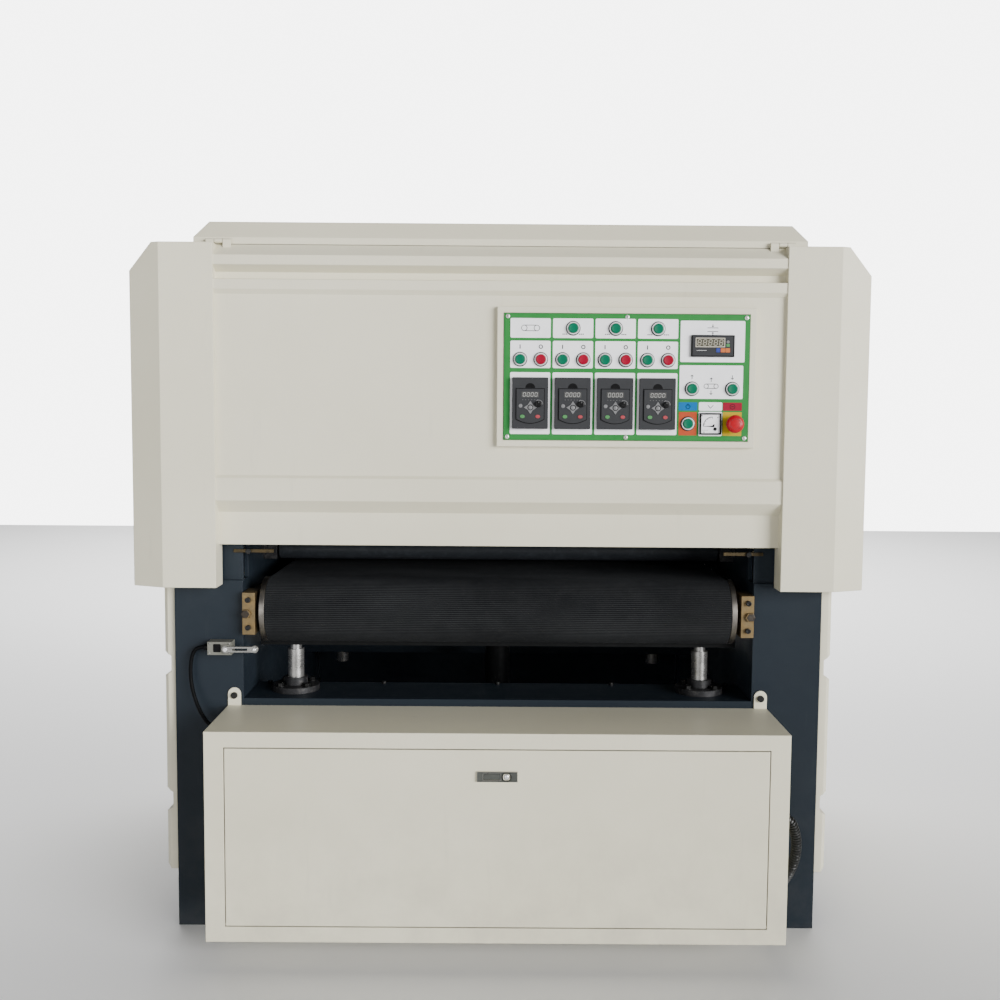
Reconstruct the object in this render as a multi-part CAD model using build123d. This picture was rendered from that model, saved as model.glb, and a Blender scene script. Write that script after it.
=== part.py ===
from build123d import *
import math
import os

# Wide drum sander: three sanding drums above a conveyor that rises and falls on four columns.
# Millimetres, +Z up, the infeed side faces -Y. The origin is on the floor, under the middle
# of the machine's box. Every depth called y is counted back from the front face of the legs.

# ---- driving dimensions -------------------------------------------------------------------
FRAME_HALF = 749.0          # half the width over the side frames
LEG_WIDTH = 158.0
LEG_DEPTH = 60.0
FRAME_DEPTH = 1100.0
LEG_TOP = 822.0
FRAME_WALL = 10.0
BASE_RAIL = 80.0            # height of the rail between the legs
HEAD_RAIL = 40.0            # height of the rail on the side plate's top
HEAD_TOP = 1560.0           # top of the side plates, under the lid
HEAD_SETBACK = 60.0         # the head's side plates start this far behind the legs' faces
SHEET = 3.0                 # cover and cabinet sheet
RUN = 0.05                  # radial clearance of a shaft in its bearing
GAP = 1.0                   # clearance between parts that pass each other
FIT = 0.4                   # clearance between a belt and what it wraps

COVER_OVERHANG = 83.0       # upper covers beyond the side frames
POST_WIDTH = 195.0          # the front cover's posts, and how far they stand in front
POST_CHAMFER_WIDTH = 75.0
POST_PROUD = 60.0
POST_CHAMFER_DEPTH = 33.0
COVER_TOP = 1583.0
POST_BOTTOM = 813.0
CORNER_CUT = (57.0, 60.0)   # across and down, at the covers' top outer corners
LIP_BOTTOM = 908.5          # lower edge of the cover over the infeed
RECESS = 10.0               # main panel and upper steps behind the posts' faces
RIDGE_STEP = 25.0
UPPER_RIDGE_Z = (1556.0, 1535.0)        # flat bands of the front sheet, top and bottom
UPPER_GROOVE_Z = (1521.0, 1506.0)
LOWER_RIDGE_Z = (1503.0, 1481.5)
MAIN_PANEL_Z = (1471.0, 1068.0)
LOWER_RIB_Z = (1062.0, 1011.0)
LIP_TOP = 983.0
LIP_SETBACK = 32.0          # lip behind the posts' faces

LID_OVERLAP = 51.0          # lid beyond the posts' inner faces
LID_LIP = (1584.0, 1599.0)
LID_TOP = 1638.0
LID_INSET = 29.0            # how far the lid's top is inside its lip
LID_FRONT = -25.0
LID_HINGE_LENGTH = 57.0
LID_HINGE_INSET = 58.0

CABINET_INSET = 122.0       # cabinet's sides inside the frame's
CABINET_DEPTH = 221.0
CABINET_Z = (67.0, 529.0)
DOOR_BORDER = 44.0
DOOR_GAP = 2.0
LOCK_SIZE = (87.0, 4.0, 22.0)
LOCK_Z = 436.0
TAB_R = 15.0                # rounded tabs that hang the cabinet on the legs
TAB_RISE = 27.0
PLATE_GAP = 11.0            # mounting plate in front of the cabinet's back
PLATE_INSET = 67.0          # its ends inside the cabinet's sides
PLATE_RAISE = 40.0
STUD_R = 5.0
STUD_INSET = 20.0
DRIVE_UNIT = (90.0, 125.0, 150.0, (270.0, 440.0))       # width, depth, pitch and height of each row
CONTACTOR = (46.0, 80.0, 60.0, (150.0, 225.0))
FIRST_DRIVE_X = -430.0
FIRST_CONTACTOR_X = -480.0
TERMINALS = ((40.0, 520.0), 45.0, (150.0, 195.0))       # width, depth and height
TRANSFORMER = ((250.0, 420.0), 100.0, (290.0, 430.0))

ROLLER_R = 70.0
BELT_THICKNESS = 5.0
BELT_INSET = 50.5           # belt's edge inside the side bars
ROLLER_INSET = 38.0
TUBE_WALL = 8.0             # wall of the rollers' and drums' tubes
ROLLER_Z = 747.5
FRONT_ROLLER_Y = 52.7
DRIVE_ROLLER_INSET = 125.0  # its axis in front of the frame's back
JOURNAL_R = 15.0
JOURNAL_WALL = 6.0          # hub round a roller's journal
REDUCER = 110.0             # gear reducer on the drive roller, square
REDUCER_DEPTH = 90.0
REDUCER_SPIGOT = 60.0
GEARMOTOR_R = 45.0
GEARMOTOR_LENGTH = 200.0
BED_SIDE_GAP = 3.0          # between the conveyor's side blocks and the frame
BAR_THICKNESS = 20.0
BLOCK_WIDTH = 29.0
BLOCK_HEIGHT = 97.0
FRONT_BLOCK_Y = (-20.0, 56.0)
REAR_BLOCK_DEPTH = 76.0
BAR_Y = (36.0, 55.0)        # its start, and its end behind the drive roller's axis
BAR_HEIGHT = 84.0
BLOCK_SCREW_R = 5.0
BLOCK_SCREW_PROUD = 6.0
BLOCK_SCREW_Z = 32.0        # above and below the roller's axis
TENSION_BOLT_R = 10.5
TENSION_BOLT_HEAD = 9.0
TENSION_BOLT_SHIFT = 5.0    # outside the block's middle
BED_THICKNESS = 10.0
BED_TUBE = 60.0             # cross tubes under the bed
LIFT_DOWN = 70.0
LIFT_UP = 12.0

DECK_TOP = 545.6
DECK_DEPTH = 162.0
DECK_WALL = 8.0
DECK_FLANGE = 60.0
JACK_DECK_TOP = 250.0
MOTOR_DECK_TOP = 1180.0
COLUMN_R = 19.0
COLUMN_SIDE = 106.0         # column's middle to the side plate
COLUMN_INSET = 90.0         # front columns behind the legs' faces, and behind their deck's front edge
REAR_COLUMN_INSET = 220.0
COLUMN_BOTTOM = 440.0
FLANGE_R = 56.0
FLANGE_THICKNESS = 14.0
BOSS_R = 27.5
BOSS_HEIGHT = 32.0
FLANGE_PCD = 90.0
DECK_SCREW_PITCH = 280.0
SCREW_R = 20.0
NUT_WALL = 14.0
NUT_LENGTH = 40.0
NECK = (5.0, 12.0)          # column's neck: step in radius, and length
JACK_BOX = 120.0            # square gear box of the lift's screw jack
JACK_BOX_HEIGHT = 90.0
JACK_MOTOR_R = 50.0
JACK_MOTOR_X = (60.0, 260.0, 300.0)     # its start, its fan cowl and its end
JACK_MOTOR_RISE = 56.0
JACK_PIT = 20.0             # floor of the gear box's bore
JACK_COLLAR = 12.0

DRUM_R = 80.0
DRUM_END_GAP = 71.0         # drum's end to the side plate
DRUM_PITCH = 200.0
DRUM_SHIFT = 50.0           # middle drum behind the frame's middle
DRUM_BOTTOM = 846.0
DRUM_JOURNAL_R = 22.0
PULLEY_GAP = 59.0           # side plate's inner face to the drive pulleys
PULLEY_WIDTH = 50.0
DRUM_PULLEY_R = 60.0
MOTOR_PULLEY_R = 75.0
MOTOR_R = 88.0
MOTOR_Z = 1300.0
MOTOR_SHAFT_R = 19.0
BELT_GROOVE = 6.0           # depth of a pulley between its rims
PULLEY_RIM = 8.0
DRUM_HUB = 10.0             # hub wall round a drum's journal
DRUM_END = 25.0             # thickness of a drum's end discs
BEARING_FLANGE = 108.0      # square flange of a drum bearing
BEARING_PLATE = 12.0
BEARING_R = 42.0
DRIVE_BELT = 9.0

PRESS_R = 25.0
PRESS_END_GAP = 40.0
PRESS_BOTTOM = 842.0
PRESS_INSET = (250.0, 155.0)
PRESS_JOURNAL_R = 12.0
PRESS_BRACKET = 44.0        # width of the hold-down rollers' brackets
PRESS_FOOT = (8.0, 90.0)    # their foot on the side plate: thickness and width
PRESS_SPRING_R = 8.0

PANEL_X = 281.0             # middle of the control panel
PANEL_Z = 1292.0
PANEL_SIZE = (575.0, 310.0)
PANEL_PROUD = 13.0
PLATE_SIZE = (545.0, 280.0)
PLATE = 2.0
BEZEL_R = 14.5
BEZEL_HEIGHT = 6.0
BUTTON_R = 11.0
BUTTON_PROUD = 3.5
BUTTON_TRAVEL = 3.0
BUTTON_SLOT = 0.4           # clearance round a button in its bezel
FIELD_PITCH = 94.2
FIRST_FIELD_X = 67.0
PAIR_OFFSET = 23.0          # start and stop buttons on each side of their field's middle
LAMP_ROW_Z = 1399.5
PAIR_ROW_Z = 1330.5
KEYPAD_Z = 1233.5
KEYPAD_SIZE = (80.0, 14.0, 114.0)
KEY_FIELD = 62.0            # width of the raised key field
KEY_FIELD_Z = (-34.0, 32.0)
KEY_ARC_Z = -22.0
NOTCH_R = 11.0
FRONT_STEP = 4.0            # thickness of the raised field, into the case
KNOB_R = 7.0
KNOB_OFFSET = (19.0, -2.0)
LIFT_ROW_Z = 1268.0
UP_X = 426.7
DOWN_X = 516.3
LOW_ROW_Z = 1190.5
POWER_X = 418.9
METER_X = 469.2
STOP_X = 521.0
STOP_R = 20.0
STOP_TRAVEL = 6.0
READOUT = (470.7, 1362.6)
READOUT_SIZE = (96.0, 48.0)
READOUT_RIM = 6.0
METER_SIZE = 48.0
METER_RIM = 3.0
METER_WINDOW_Z = (-10.0, 21.0)          # about the meter's middle

SIDE_DOOR_Z = (132.0, 806.0)
SIDE_DOOR_INSET = (12.0, 28.0)
SIDE_DOOR_THICKNESS = 28.0
GROOVE_Z = (298.0, 623.0)
GROOVE_HEIGHT = 57.0
GROOVE_DEPTH = 16.0
GROOVE_SLANT = 10.0         # height of a groove's sloping sides
HINGE_R = 8.0
HINGE_PIN_R = 4.0
HINGE_HALF_LENGTH = 30.0    # length of each half of a side door's hinge
HINGE_PIN_END = 34.0
LID_KNUCKLE_R = 5.0
LID_PIN_R = 2.5

SWITCH_SIZE = (55.0, 34.0, 30.0)
SWITCH_INSET = 111.0        # limit switch's middle inside the left frame's outer face
SWITCH_Z = 669.0
SWITCH_HEAD = (11.0, 5.0)   # radius, and how far it stands out
GLAND = (7.0, 10.0)         # radius and length
SPINDLE_R = 3.0
LEVER_PIVOT = 16.0          # right of the switch's middle
LEVER_WIDTH = 13.0
LEVER_SLOT = 5.0
LEVER_LENGTH = 66.0
LEVER_ROLLER_R = 8.5
SPIGOT_R = 75.0             # dust outlets on the rear cover
SPIGOT_LENGTH = 60.0
SPIGOT_Z = 1290.0
SPIGOT_X = (-400.0, 0.0, 400.0)
SHOULDER_REACH = 22.0       # plate on each leg's top, beyond the post's inner face
SHOULDER_Y = (8.0, 14.0)
SHOULDER_TOP = 950.0
GUARD_Z = (130.0, 545.0)    # sheet that closes the frame's back below the conveyor
GUARD_INSET = 34.0
GUARD_FOLD = 25.0

ANCHOR_R = 9.0
ANCHOR_INSET = 200.0
CABINET_TAB_INSET = 15.0
CARRIER = 12.0              # plates under the bed that the columns carry
CARRIER_WIDTH = 40.0
NUT_TUBE_BOTTOM = 440.0
BAR_OUTER_GAP = 3.0
BEARING_LENGTH = 34.0
MOTOR_START_X = 120.0
MOTOR_FOOT_WIDTH = 150.0
MOTOR_STAND = 60.0
MOTOR_END_GAP = 60.0        # motor's end to the side plate
MOTOR_FAN = 70.0
MOTOR_FOOT = 14.0
MOTOR_BORE = 40.0           # depth of the shaft's bore in the motor
DOOR_PIN_R = 1.5
HANDLE_X = (-31.0, 8.0)
HANDLE_HEIGHT = 14.0
LOCK_BUTTON_X = 20.0
LOCK_BUTTON_R = 6.0
STOP_STEM_R = 8.0
KNOB_STEM_R = 3.0
CABLE_R = 4.5
CONDUIT_R = 12.0
CONDUIT_Y = -95.0
CONDUIT_START_Z = 306.0
CONDUIT_END_Z = 122.0

# ---- places worked out from them -------------------------------------------------------------
LEG_INNER = FRAME_HALF - LEG_WIDTH
COVER_HALF = FRAME_HALF + COVER_OVERHANG
POST_INNER = COVER_HALF - POST_WIDTH
POST_FLAT_OUTER = COVER_HALF - POST_CHAMFER_WIDTH
LID_HALF = POST_INNER + LID_OVERLAP
LID_HINGE_X = LID_HALF - LID_HINGE_INSET
CABINET_HALF = FRAME_HALF - CABINET_INSET
BED_HALF = LEG_INNER - BED_SIDE_GAP
BELT_HALF = BED_HALF - BELT_INSET
ROLLER_HALF = BED_HALF - ROLLER_INSET
COLUMN_X = LEG_INNER - COLUMN_SIDE
DRUM_HALF = LEG_INNER - DRUM_END_GAP
PRESS_HALF = LEG_INNER - PRESS_END_GAP
PULLEY_X = (LEG_INNER + PULLEY_GAP, LEG_INNER + PULLEY_GAP + PULLEY_WIDTH)
SWITCH_X = -FRAME_HALF + SWITCH_INSET
REAR_FACE = FRAME_DEPTH + POST_PROUD
MACHINE_Y = (-CABINET_DEPTH - LOCK_SIZE[1], REAR_FACE + SPIGOT_LENGTH)
LEG_FACE_Y = -sum(MACHINE_Y) / 2        # row frame place of the legs' front faces
COLUMN_YS = (COLUMN_INSET, FRAME_DEPTH - REAR_COLUMN_INSET)
DRIVE_ROLLER_Y = FRAME_DEPTH - DRIVE_ROLLER_INSET
DRUM_Y = [FRAME_DEPTH / 2 + DRUM_SHIFT + DRUM_PITCH * i for i in (-1, 0, 1)]
PRESS_Y = (PRESS_INSET[0], FRAME_DEPTH - PRESS_INSET[1])
SIDE_DOOR_Y = (SIDE_DOOR_INSET[0], FRAME_DEPTH - SIDE_DOOR_INSET[1])
BELT_INNER = ROLLER_R + FIT
BELT_OUTER = BELT_INNER + BELT_THICKNESS
BELT_BOTTOM = ROLLER_Z - BELT_OUTER
DRUM_Z = DRUM_BOTTOM + DRUM_R
PRESS_Z = PRESS_BOTTOM + PRESS_R
PANEL_BACK = -POST_PROUD + RECESS
PANEL_FRONT = PANEL_BACK - PANEL_PROUD
PLATE_FRONT = PANEL_FRONT - PLATE
BEZEL_FRONT = PLATE_FRONT - BEZEL_HEIGHT
FIELD_X = [FIRST_FIELD_X + FIELD_PITCH * i for i in range(4)]
SIDE_DOOR_INNER = FRAME_HALF + GAP
HINGE_X = SIDE_DOOR_INNER + SIDE_DOOR_THICKNESS + HINGE_R / 2
HINGE_Y = SIDE_DOOR_Y[1] + HINGE_R + GAP
LID_HINGE_Y = LID_FRONT - 6.0
LID_HINGE_Z = LID_LIP[0] + 6.0
SIDE_HINGE_Z = (SIDE_DOOR_Z[0] + 90, SIDE_DOOR_Z[1] - 130)
ANCHOR_X = FRAME_HALF - LEG_WIDTH / 2
ANCHOR_Y = (ANCHOR_INSET, FRAME_DEPTH - ANCHOR_INSET)
CABINET_TAB_X = CABINET_HALF - CABINET_TAB_INSET
CARRIER_TOP = BELT_BOTTOM - 2.5
JACK_SCREW_TOP = CARRIER_TOP - CARRIER - LIFT_DOWN - 5
BEARING_X = (LEG_INNER + FRAME_WALL, LEG_INNER + FRAME_WALL + BEARING_LENGTH)
MOTOR_X = (MOTOR_START_X, LEG_INNER - MOTOR_END_GAP)
DOOR_X = CABINET_HALF - DOOR_BORDER
DOOR_Z = (CABINET_Z[0] + DOOR_BORDER - 8, CABINET_Z[1] - DOOR_BORDER + 8)
DOOR_HINGE_Y = -CABINET_DEPTH + 3.0
DOOR_HINGE_Z = DOOR_Z[0] + 3.0
LEVER_Y = -SWITCH_SIZE[1] - 8.0
LEVER_PIVOT_X = SWITCH_X + LEVER_PIVOT
SWITCH_END_X = SWITCH_X - SWITCH_SIZE[0] / 2 - GLAND[1]
SWITCH_MID_Y = -SWITCH_SIZE[1] / 2


# ---- helpers ---------------------------------------------------------------------------------
def block(x, y, z):
    """A box between two corners, each coordinate given as (low, high)."""
    size = [high - low for low, high in (x, y, z)]
    return Pos(x[0], LEG_FACE_Y + y[0], z[0]) * Box(*size, align=(Align.MIN,) * 3)


def rod(axis, radius, start, end, across):
    """A cylinder along one axis from start to end; across gives its two other coordinates."""
    base = Cylinder(radius, end - start, align=(Align.CENTER, Align.CENTER, Align.MIN))
    if axis == "x":
        return Pos(start, LEG_FACE_Y + across[0], across[1]) * Rot(0, 90, 0) * base
    if axis == "y":
        return Pos(across[0], LEG_FACE_Y + start, across[1]) * Rot(-90, 0, 0) * base
    return Pos(across[0], LEG_FACE_Y + across[1], start) * base


def ring(axis, outer, inner, start, end, across):
    """A tube along one axis."""
    return rod(axis, outer, start, end, across) - rod(axis, inner, start - 1, end + 1, across)


def span(middle, width):
    """The (low, high) of a width about its middle."""
    return (middle - width / 2, middle + width / 2)


def opposite(shape):
    """The same shape on the other side of the machine."""
    return mirror(shape, about=Plane.YZ)


def group(*shapes):
    """Separate pieces that share one node."""
    return Compound([solid for shape in shapes for solid in shape.solids()])


def along_x(points, start, end):
    """A solid between two x values whose outline is a list of (y, z) points."""
    plane = Plane(origin=(start, LEG_FACE_Y, 0), x_dir=(0, 1, 0), z_dir=(1, 0, 0))
    return extrude(plane * make_face(Polyline(*points, close=True)), end - start)


def along_y(points, start, end):
    """A solid between two depths whose outline is a list of (x, z) points."""
    plane = Plane(origin=(0, LEG_FACE_Y + start, 0), x_dir=(1, 0, 0), z_dir=(0, -1, 0))
    return extrude(plane * make_face(Polyline(*points, close=True)), start - end)


def along_z(points, start, end):
    """A solid between two heights whose outline is a list of (x, y) points."""
    return Pos(0, LEG_FACE_Y, start) * extrude(make_face(Polyline(*points, close=True)), end - start)


def sheet_outline(points, thickness):
    """The closed outline of a sheet: the points, then the same line moved over by its thickness."""
    back = []
    for i, point in enumerate(points):
        before = Vector(*points[max(i - 1, 0)])
        here = Vector(*point)
        after = Vector(*points[min(i + 1, len(points) - 1)])
        into = (here - before).normalized() if i else (after - here).normalized()
        out = (after - here).normalized() if i < len(points) - 1 else into
        normals = [Vector(-d.Y, d.X) for d in (into, out)]
        half = normals[0] + normals[1]
        back.append(here + half * (2 * thickness / half.length**2))
    return points + [(p.X, p.Y) for p in reversed(back)]


def save(name, shape):
    export_step(shape, f"parts/{name}.step")


# ---- welded frame ----------------------------------------------------------------------------
def side_door_lugs(z):
    """One frame-side hinge half: a lug below the door's knuckle and the pin through it."""
    web = block((FRAME_HALF, HINGE_X), span(HINGE_Y, 2 * HINGE_PIN_R), (z - HINGE_HALF_LENGTH, z - GAP / 2))
    barrel = rod("z", HINGE_R, z - HINGE_HALF_LENGTH, z - GAP / 2, (HINGE_X, HINGE_Y))
    pin = rod("z", HINGE_PIN_R, z - HINGE_HALF_LENGTH, z + HINGE_PIN_END, (HINGE_X, HINGE_Y))
    return web + barrel + pin


def side_frame():
    """Right side frame: a plate between two box legs on a base rail, with a head and a shoulder."""
    inner = (LEG_INNER, LEG_INNER + FRAME_WALL)
    plate = block(inner, (0, FRAME_DEPTH), (0, LEG_TOP))
    head = block(inner, (HEAD_SETBACK, FRAME_DEPTH - HEAD_SETBACK), (LEG_TOP, HEAD_TOP))
    frame = plate + head
    for front in (0, FRAME_DEPTH - LEG_DEPTH):
        leg = block((LEG_INNER, FRAME_HALF), (front, front + LEG_DEPTH), (0, LEG_TOP))
        hollow = block(
            (LEG_INNER + FRAME_WALL, FRAME_HALF - FRAME_WALL),
            (front + FRAME_WALL, front + LEG_DEPTH - FRAME_WALL),
            (FRAME_WALL, LEG_TOP - FRAME_WALL),
        )
        frame += leg - hollow
    frame += block((LEG_INNER, FRAME_HALF), (0, FRAME_DEPTH), (0, BASE_RAIL)) - block(
        (LEG_INNER + FRAME_WALL, FRAME_HALF - FRAME_WALL),
        (LEG_DEPTH, FRAME_DEPTH - LEG_DEPTH),
        (FRAME_WALL, BASE_RAIL + 1),
    )
    head_y = (HEAD_SETBACK, FRAME_DEPTH - HEAD_SETBACK)
    frame += block((LEG_INNER, FRAME_HALF - HEAD_RAIL), head_y, (HEAD_TOP - HEAD_RAIL, HEAD_TOP))
    shoulder = (LEG_INNER, POST_INNER + SHOULDER_REACH)
    frame += block(shoulder, SHOULDER_Y, (LEG_TOP - 1, SHOULDER_TOP))
    for y in DRUM_Y:
        frame -= rod("x", DRUM_JOURNAL_R + 8, LEG_INNER - 1, LEG_INNER + FRAME_WALL + 1, (y, DRUM_Z))
    for z in SIDE_HINGE_Z:
        frame += side_door_lugs(z)
    for x, y in anchor_places():
        frame -= rod("z", ANCHOR_R, -1, FRAME_WALL + 1, (x, y))
    return frame


def anchor_places():
    """Floor anchor holes in the base rail."""
    return [(ANCHOR_X, y) for y in ANCHOR_Y]


def reducer_window():
    """The opening in the left side plate for the conveyor's gear reducer, over its travel."""
    z = (ROLLER_Z - REDUCER / 2 - LIFT_DOWN - 15, LEG_TOP + 30)
    y = (DRIVE_ROLLER_Y - REDUCER / 2 - 15, FRAME_DEPTH - LEG_DEPTH)
    return block((-LEG_INNER - FRAME_WALL - 1, -LEG_INNER + 1), y, z)


def right_side_frame():
    """The right side frame also has openings for the three motor shafts."""
    frame = side_frame()
    for y in DRUM_Y:
        frame -= rod("x", MOTOR_SHAFT_R + 12, LEG_INNER - 1, LEG_INNER + FRAME_WALL + 1, (y, MOTOR_Z))
    return frame


def cross_deck(y, top):
    """A folded plate across the frame, with a flange down at each edge."""
    inside = LEG_INNER
    deck = block((-inside, inside), y, (top - DECK_WALL, top))
    for edge in ((y[0], y[0] + DECK_WALL), (y[1] - DECK_WALL, y[1])):
        deck += block((-inside, inside), edge, (top - DECK_FLANGE, top))
    return deck


def deck_depths():
    """Depths of the two lift decks, each about its pair of columns."""
    return [(y - COLUMN_INSET, y - COLUMN_INSET + DECK_DEPTH) for y in COLUMN_YS]


def cross_beams():
    """Lift decks front and rear, the jack's deck, the motor deck in the head and the rear guard."""
    decks = []
    for y in deck_depths():
        deck = cross_deck(y, DECK_TOP)
        for x in (-COLUMN_X, COLUMN_X):
            place = (x, y[0] + COLUMN_INSET)
            deck -= rod("z", COLUMN_R + 4, DECK_TOP - DECK_WALL - 1, DECK_TOP + 1, place)
        decks.append(deck)
    middle = FRAME_DEPTH / 2
    decks.append(cross_deck(span(middle, 180), JACK_DECK_TOP))
    motor_deck = cross_deck((HEAD_SETBACK, FRAME_DEPTH - HEAD_SETBACK), MOTOR_DECK_TOP)
    decks.append(motor_deck)
    return group(*decks, rear_guard())


def rear_guard():
    """Folded sheet between the rear legs, under the conveyor's outfeed end."""
    inside = LEG_INNER
    back = FRAME_DEPTH - GUARD_INSET
    guard = block((-inside, inside), (back - SHEET, back), GUARD_Z)
    for edge in ((-inside, -inside + SHEET), (inside - SHEET, inside)):
        guard += block(edge, (back - GUARD_FOLD, back), GUARD_Z)
    for edge in ((GUARD_Z[0], GUARD_Z[0] + SHEET), (GUARD_Z[1] - SHEET, GUARD_Z[1])):
        guard += block((-inside, inside), (back - GUARD_FOLD, back), edge)
    return guard


def column_flanges():
    """Four flanged bushes that guide the lift columns."""
    flanges = []
    for x in (-COLUMN_X, COLUMN_X):
        for y in COLUMN_YS:
            low = DECK_TOP
            top = low + FLANGE_THICKNESS
            flange = rod("z", FLANGE_R, low, top, (x, y)) + rod("z", BOSS_R, low, low + BOSS_HEIGHT, (x, y))
            flanges.append(flange - rod("z", COLUMN_R + RUN, low - 1, low + BOSS_HEIGHT + 1, (x, y)))
    return group(*flanges)


def hex_bolt(radius, head, x, y, z):
    """An upright bolt head with its washer, standing on z."""
    washer = rod("z", radius * 2.2, z, z + 1.6, (x, y))
    hexagon = Pos(x, LEG_FACE_Y + y, z + 1.6) * extrude(RegularPolygon(radius * 1.6, 6), head)
    return washer + hexagon


def fasteners():
    """Flange bolts, deck, guard and cabinet screws and the control panel's screws."""
    pieces = []
    for x in (-COLUMN_X, COLUMN_X):
        for y in COLUMN_YS:
            for turn in (45, 135, 225, 315):
                dx = FLANGE_PCD / 2 * math.cos(math.radians(turn))
                dy = FLANGE_PCD / 2 * math.sin(math.radians(turn))
                pieces.append(hex_bolt(5.0, 6.5, x + dx, y + dy, DECK_TOP + FLANGE_THICKNESS))
    for depth in deck_depths():
        for i in range(-2, 3):
            place = (i * DECK_SCREW_PITCH, depth[1] - 12)
            pieces.append(rod("z", 5.5, DECK_TOP, DECK_TOP + 6, place))
    guard_y = FRAME_DEPTH - GUARD_INSET - GUARD_FOLD / 2
    for z in (GUARD_Z[0] + 40, sum(GUARD_Z) / 2, GUARD_Z[1] - 40):
        screw = rod("x", 6, LEG_INNER - SHEET - 4, LEG_INNER - SHEET, (guard_y, z))
        pieces += [screw, opposite(screw)]
    for x in (-CABINET_TAB_X, CABINET_TAB_X):
        pieces.append(rod("y", 7.5, -SHEET - 6, -SHEET, (x, CABINET_Z[1] + 24)))
    for x, z in panel_screw_places():
        pieces.append(rod("y", 3.5, PLATE_FRONT - 2, PLATE_FRONT, (x, z)))
    return group(*pieces)


def panel_screw_places():
    """Six screws round the edge of the control plate."""
    edge = (PLATE_SIZE[0] / 2 - 8, PLATE_SIZE[1] / 2 - 7)
    return [(PANEL_X + i * edge[0], PANEL_Z + j * edge[1]) for i in (-1, 0, 1) for j in (-1, 1)]


# ---- lift ------------------------------------------------------------------------------------
def lift_jack():
    """Worm gear box and motor under the conveyor's middle, on the jack deck."""
    middle = FRAME_DEPTH / 2
    base = JACK_DECK_TOP
    shaft_z = base + JACK_MOTOR_RISE
    start, cowl, end = JACK_MOTOR_X
    box = block(span(0, JACK_BOX), span(middle, JACK_BOX), (base, base + JACK_BOX_HEIGHT))
    motor = rod("x", JACK_MOTOR_R, start, cowl, (middle, shaft_z))
    fan = rod("x", JACK_MOTOR_R + 4, cowl, end, (middle, shaft_z))
    bore = rod("z", SCREW_R + RUN, base + JACK_PIT, base + JACK_BOX_HEIGHT + 1, (0, middle))
    return box + motor + fan - bore


def lift_screw():
    """The jack's screw, which turns in the gear box and drives the nut under the bed."""
    middle = FRAME_DEPTH / 2
    box_top = JACK_DECK_TOP + JACK_BOX_HEIGHT
    screw = rod("z", SCREW_R, JACK_DECK_TOP + JACK_PIT + GAP, JACK_SCREW_TOP, (0, middle))
    return screw + rod("z", SCREW_R + JACK_COLLAR, box_top + GAP, box_top + JACK_COLLAR, (0, middle))


def lift_columns():
    """Four ground columns with a neck at the top, which screws into the carriers."""
    columns = []
    top = CARRIER_TOP - CARRIER
    step, neck = NECK
    for x in (-COLUMN_X, COLUMN_X):
        for y in COLUMN_YS:
            column = rod("z", COLUMN_R, COLUMN_BOTTOM, top - neck, (x, y))
            columns.append(column + rod("z", COLUMN_R - step, top - neck - 1, top, (x, y)))
    return group(*columns)


# ---- conveyor --------------------------------------------------------------------------------
def bed_end_y():
    """Depths of the flat bed between the two rollers."""
    return (FRONT_ROLLER_Y + ROLLER_R + 8, DRIVE_ROLLER_Y - ROLLER_R - 8)


def conveyor_bed():
    """Flat bed between the belt's runs, cross tubes to the side bars, carriers and the nut tube."""
    bed_top = ROLLER_Z + BELT_INNER - FIT
    inside = BED_HALF - BAR_OUTER_GAP - BAR_THICKNESS
    bed = block((-BELT_HALF, BELT_HALF), bed_end_y(), (bed_top - BED_THICKNESS, bed_top))
    first, last = bed_end_y()
    for y in (first + 50, (first + last) / 2, last - 50):
        bed += block((-inside, inside), span(y, BED_TUBE), (bed_top - BED_TUBE, bed_top - BED_THICKNESS + 1))
    carrier_z = (CARRIER_TOP - CARRIER, CARRIER_TOP)
    for y in COLUMN_YS:
        bed += block((-inside, inside), span(y, CARRIER_WIDTH), carrier_z)
        for side in (-1, 1):
            x = sorted((side * inside, side * (ROLLER_HALF + 3)))
            bed += block(x, span(y, CARRIER_WIDTH), (CARRIER_TOP - CARRIER, ROLLER_Z - 30))
    middle = FRAME_DEPTH / 2
    bed += block(span(0, JACK_BOX), (COLUMN_YS[0], COLUMN_YS[1]), carrier_z)
    bed += rod("z", SCREW_R + NUT_WALL, NUT_TUBE_BOTTOM, CARRIER_TOP - CARRIER / 2, (0, middle))
    bed -= rod("z", SCREW_R + RUN, NUT_TUBE_BOTTOM - 1, NUT_TUBE_BOTTOM + NUT_LENGTH, (0, middle))
    bed -= rod("z", SCREW_R + 4, NUT_TUBE_BOTTOM + NUT_LENGTH - 1, CARRIER_TOP - CARRIER, (0, middle))
    return bed


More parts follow.
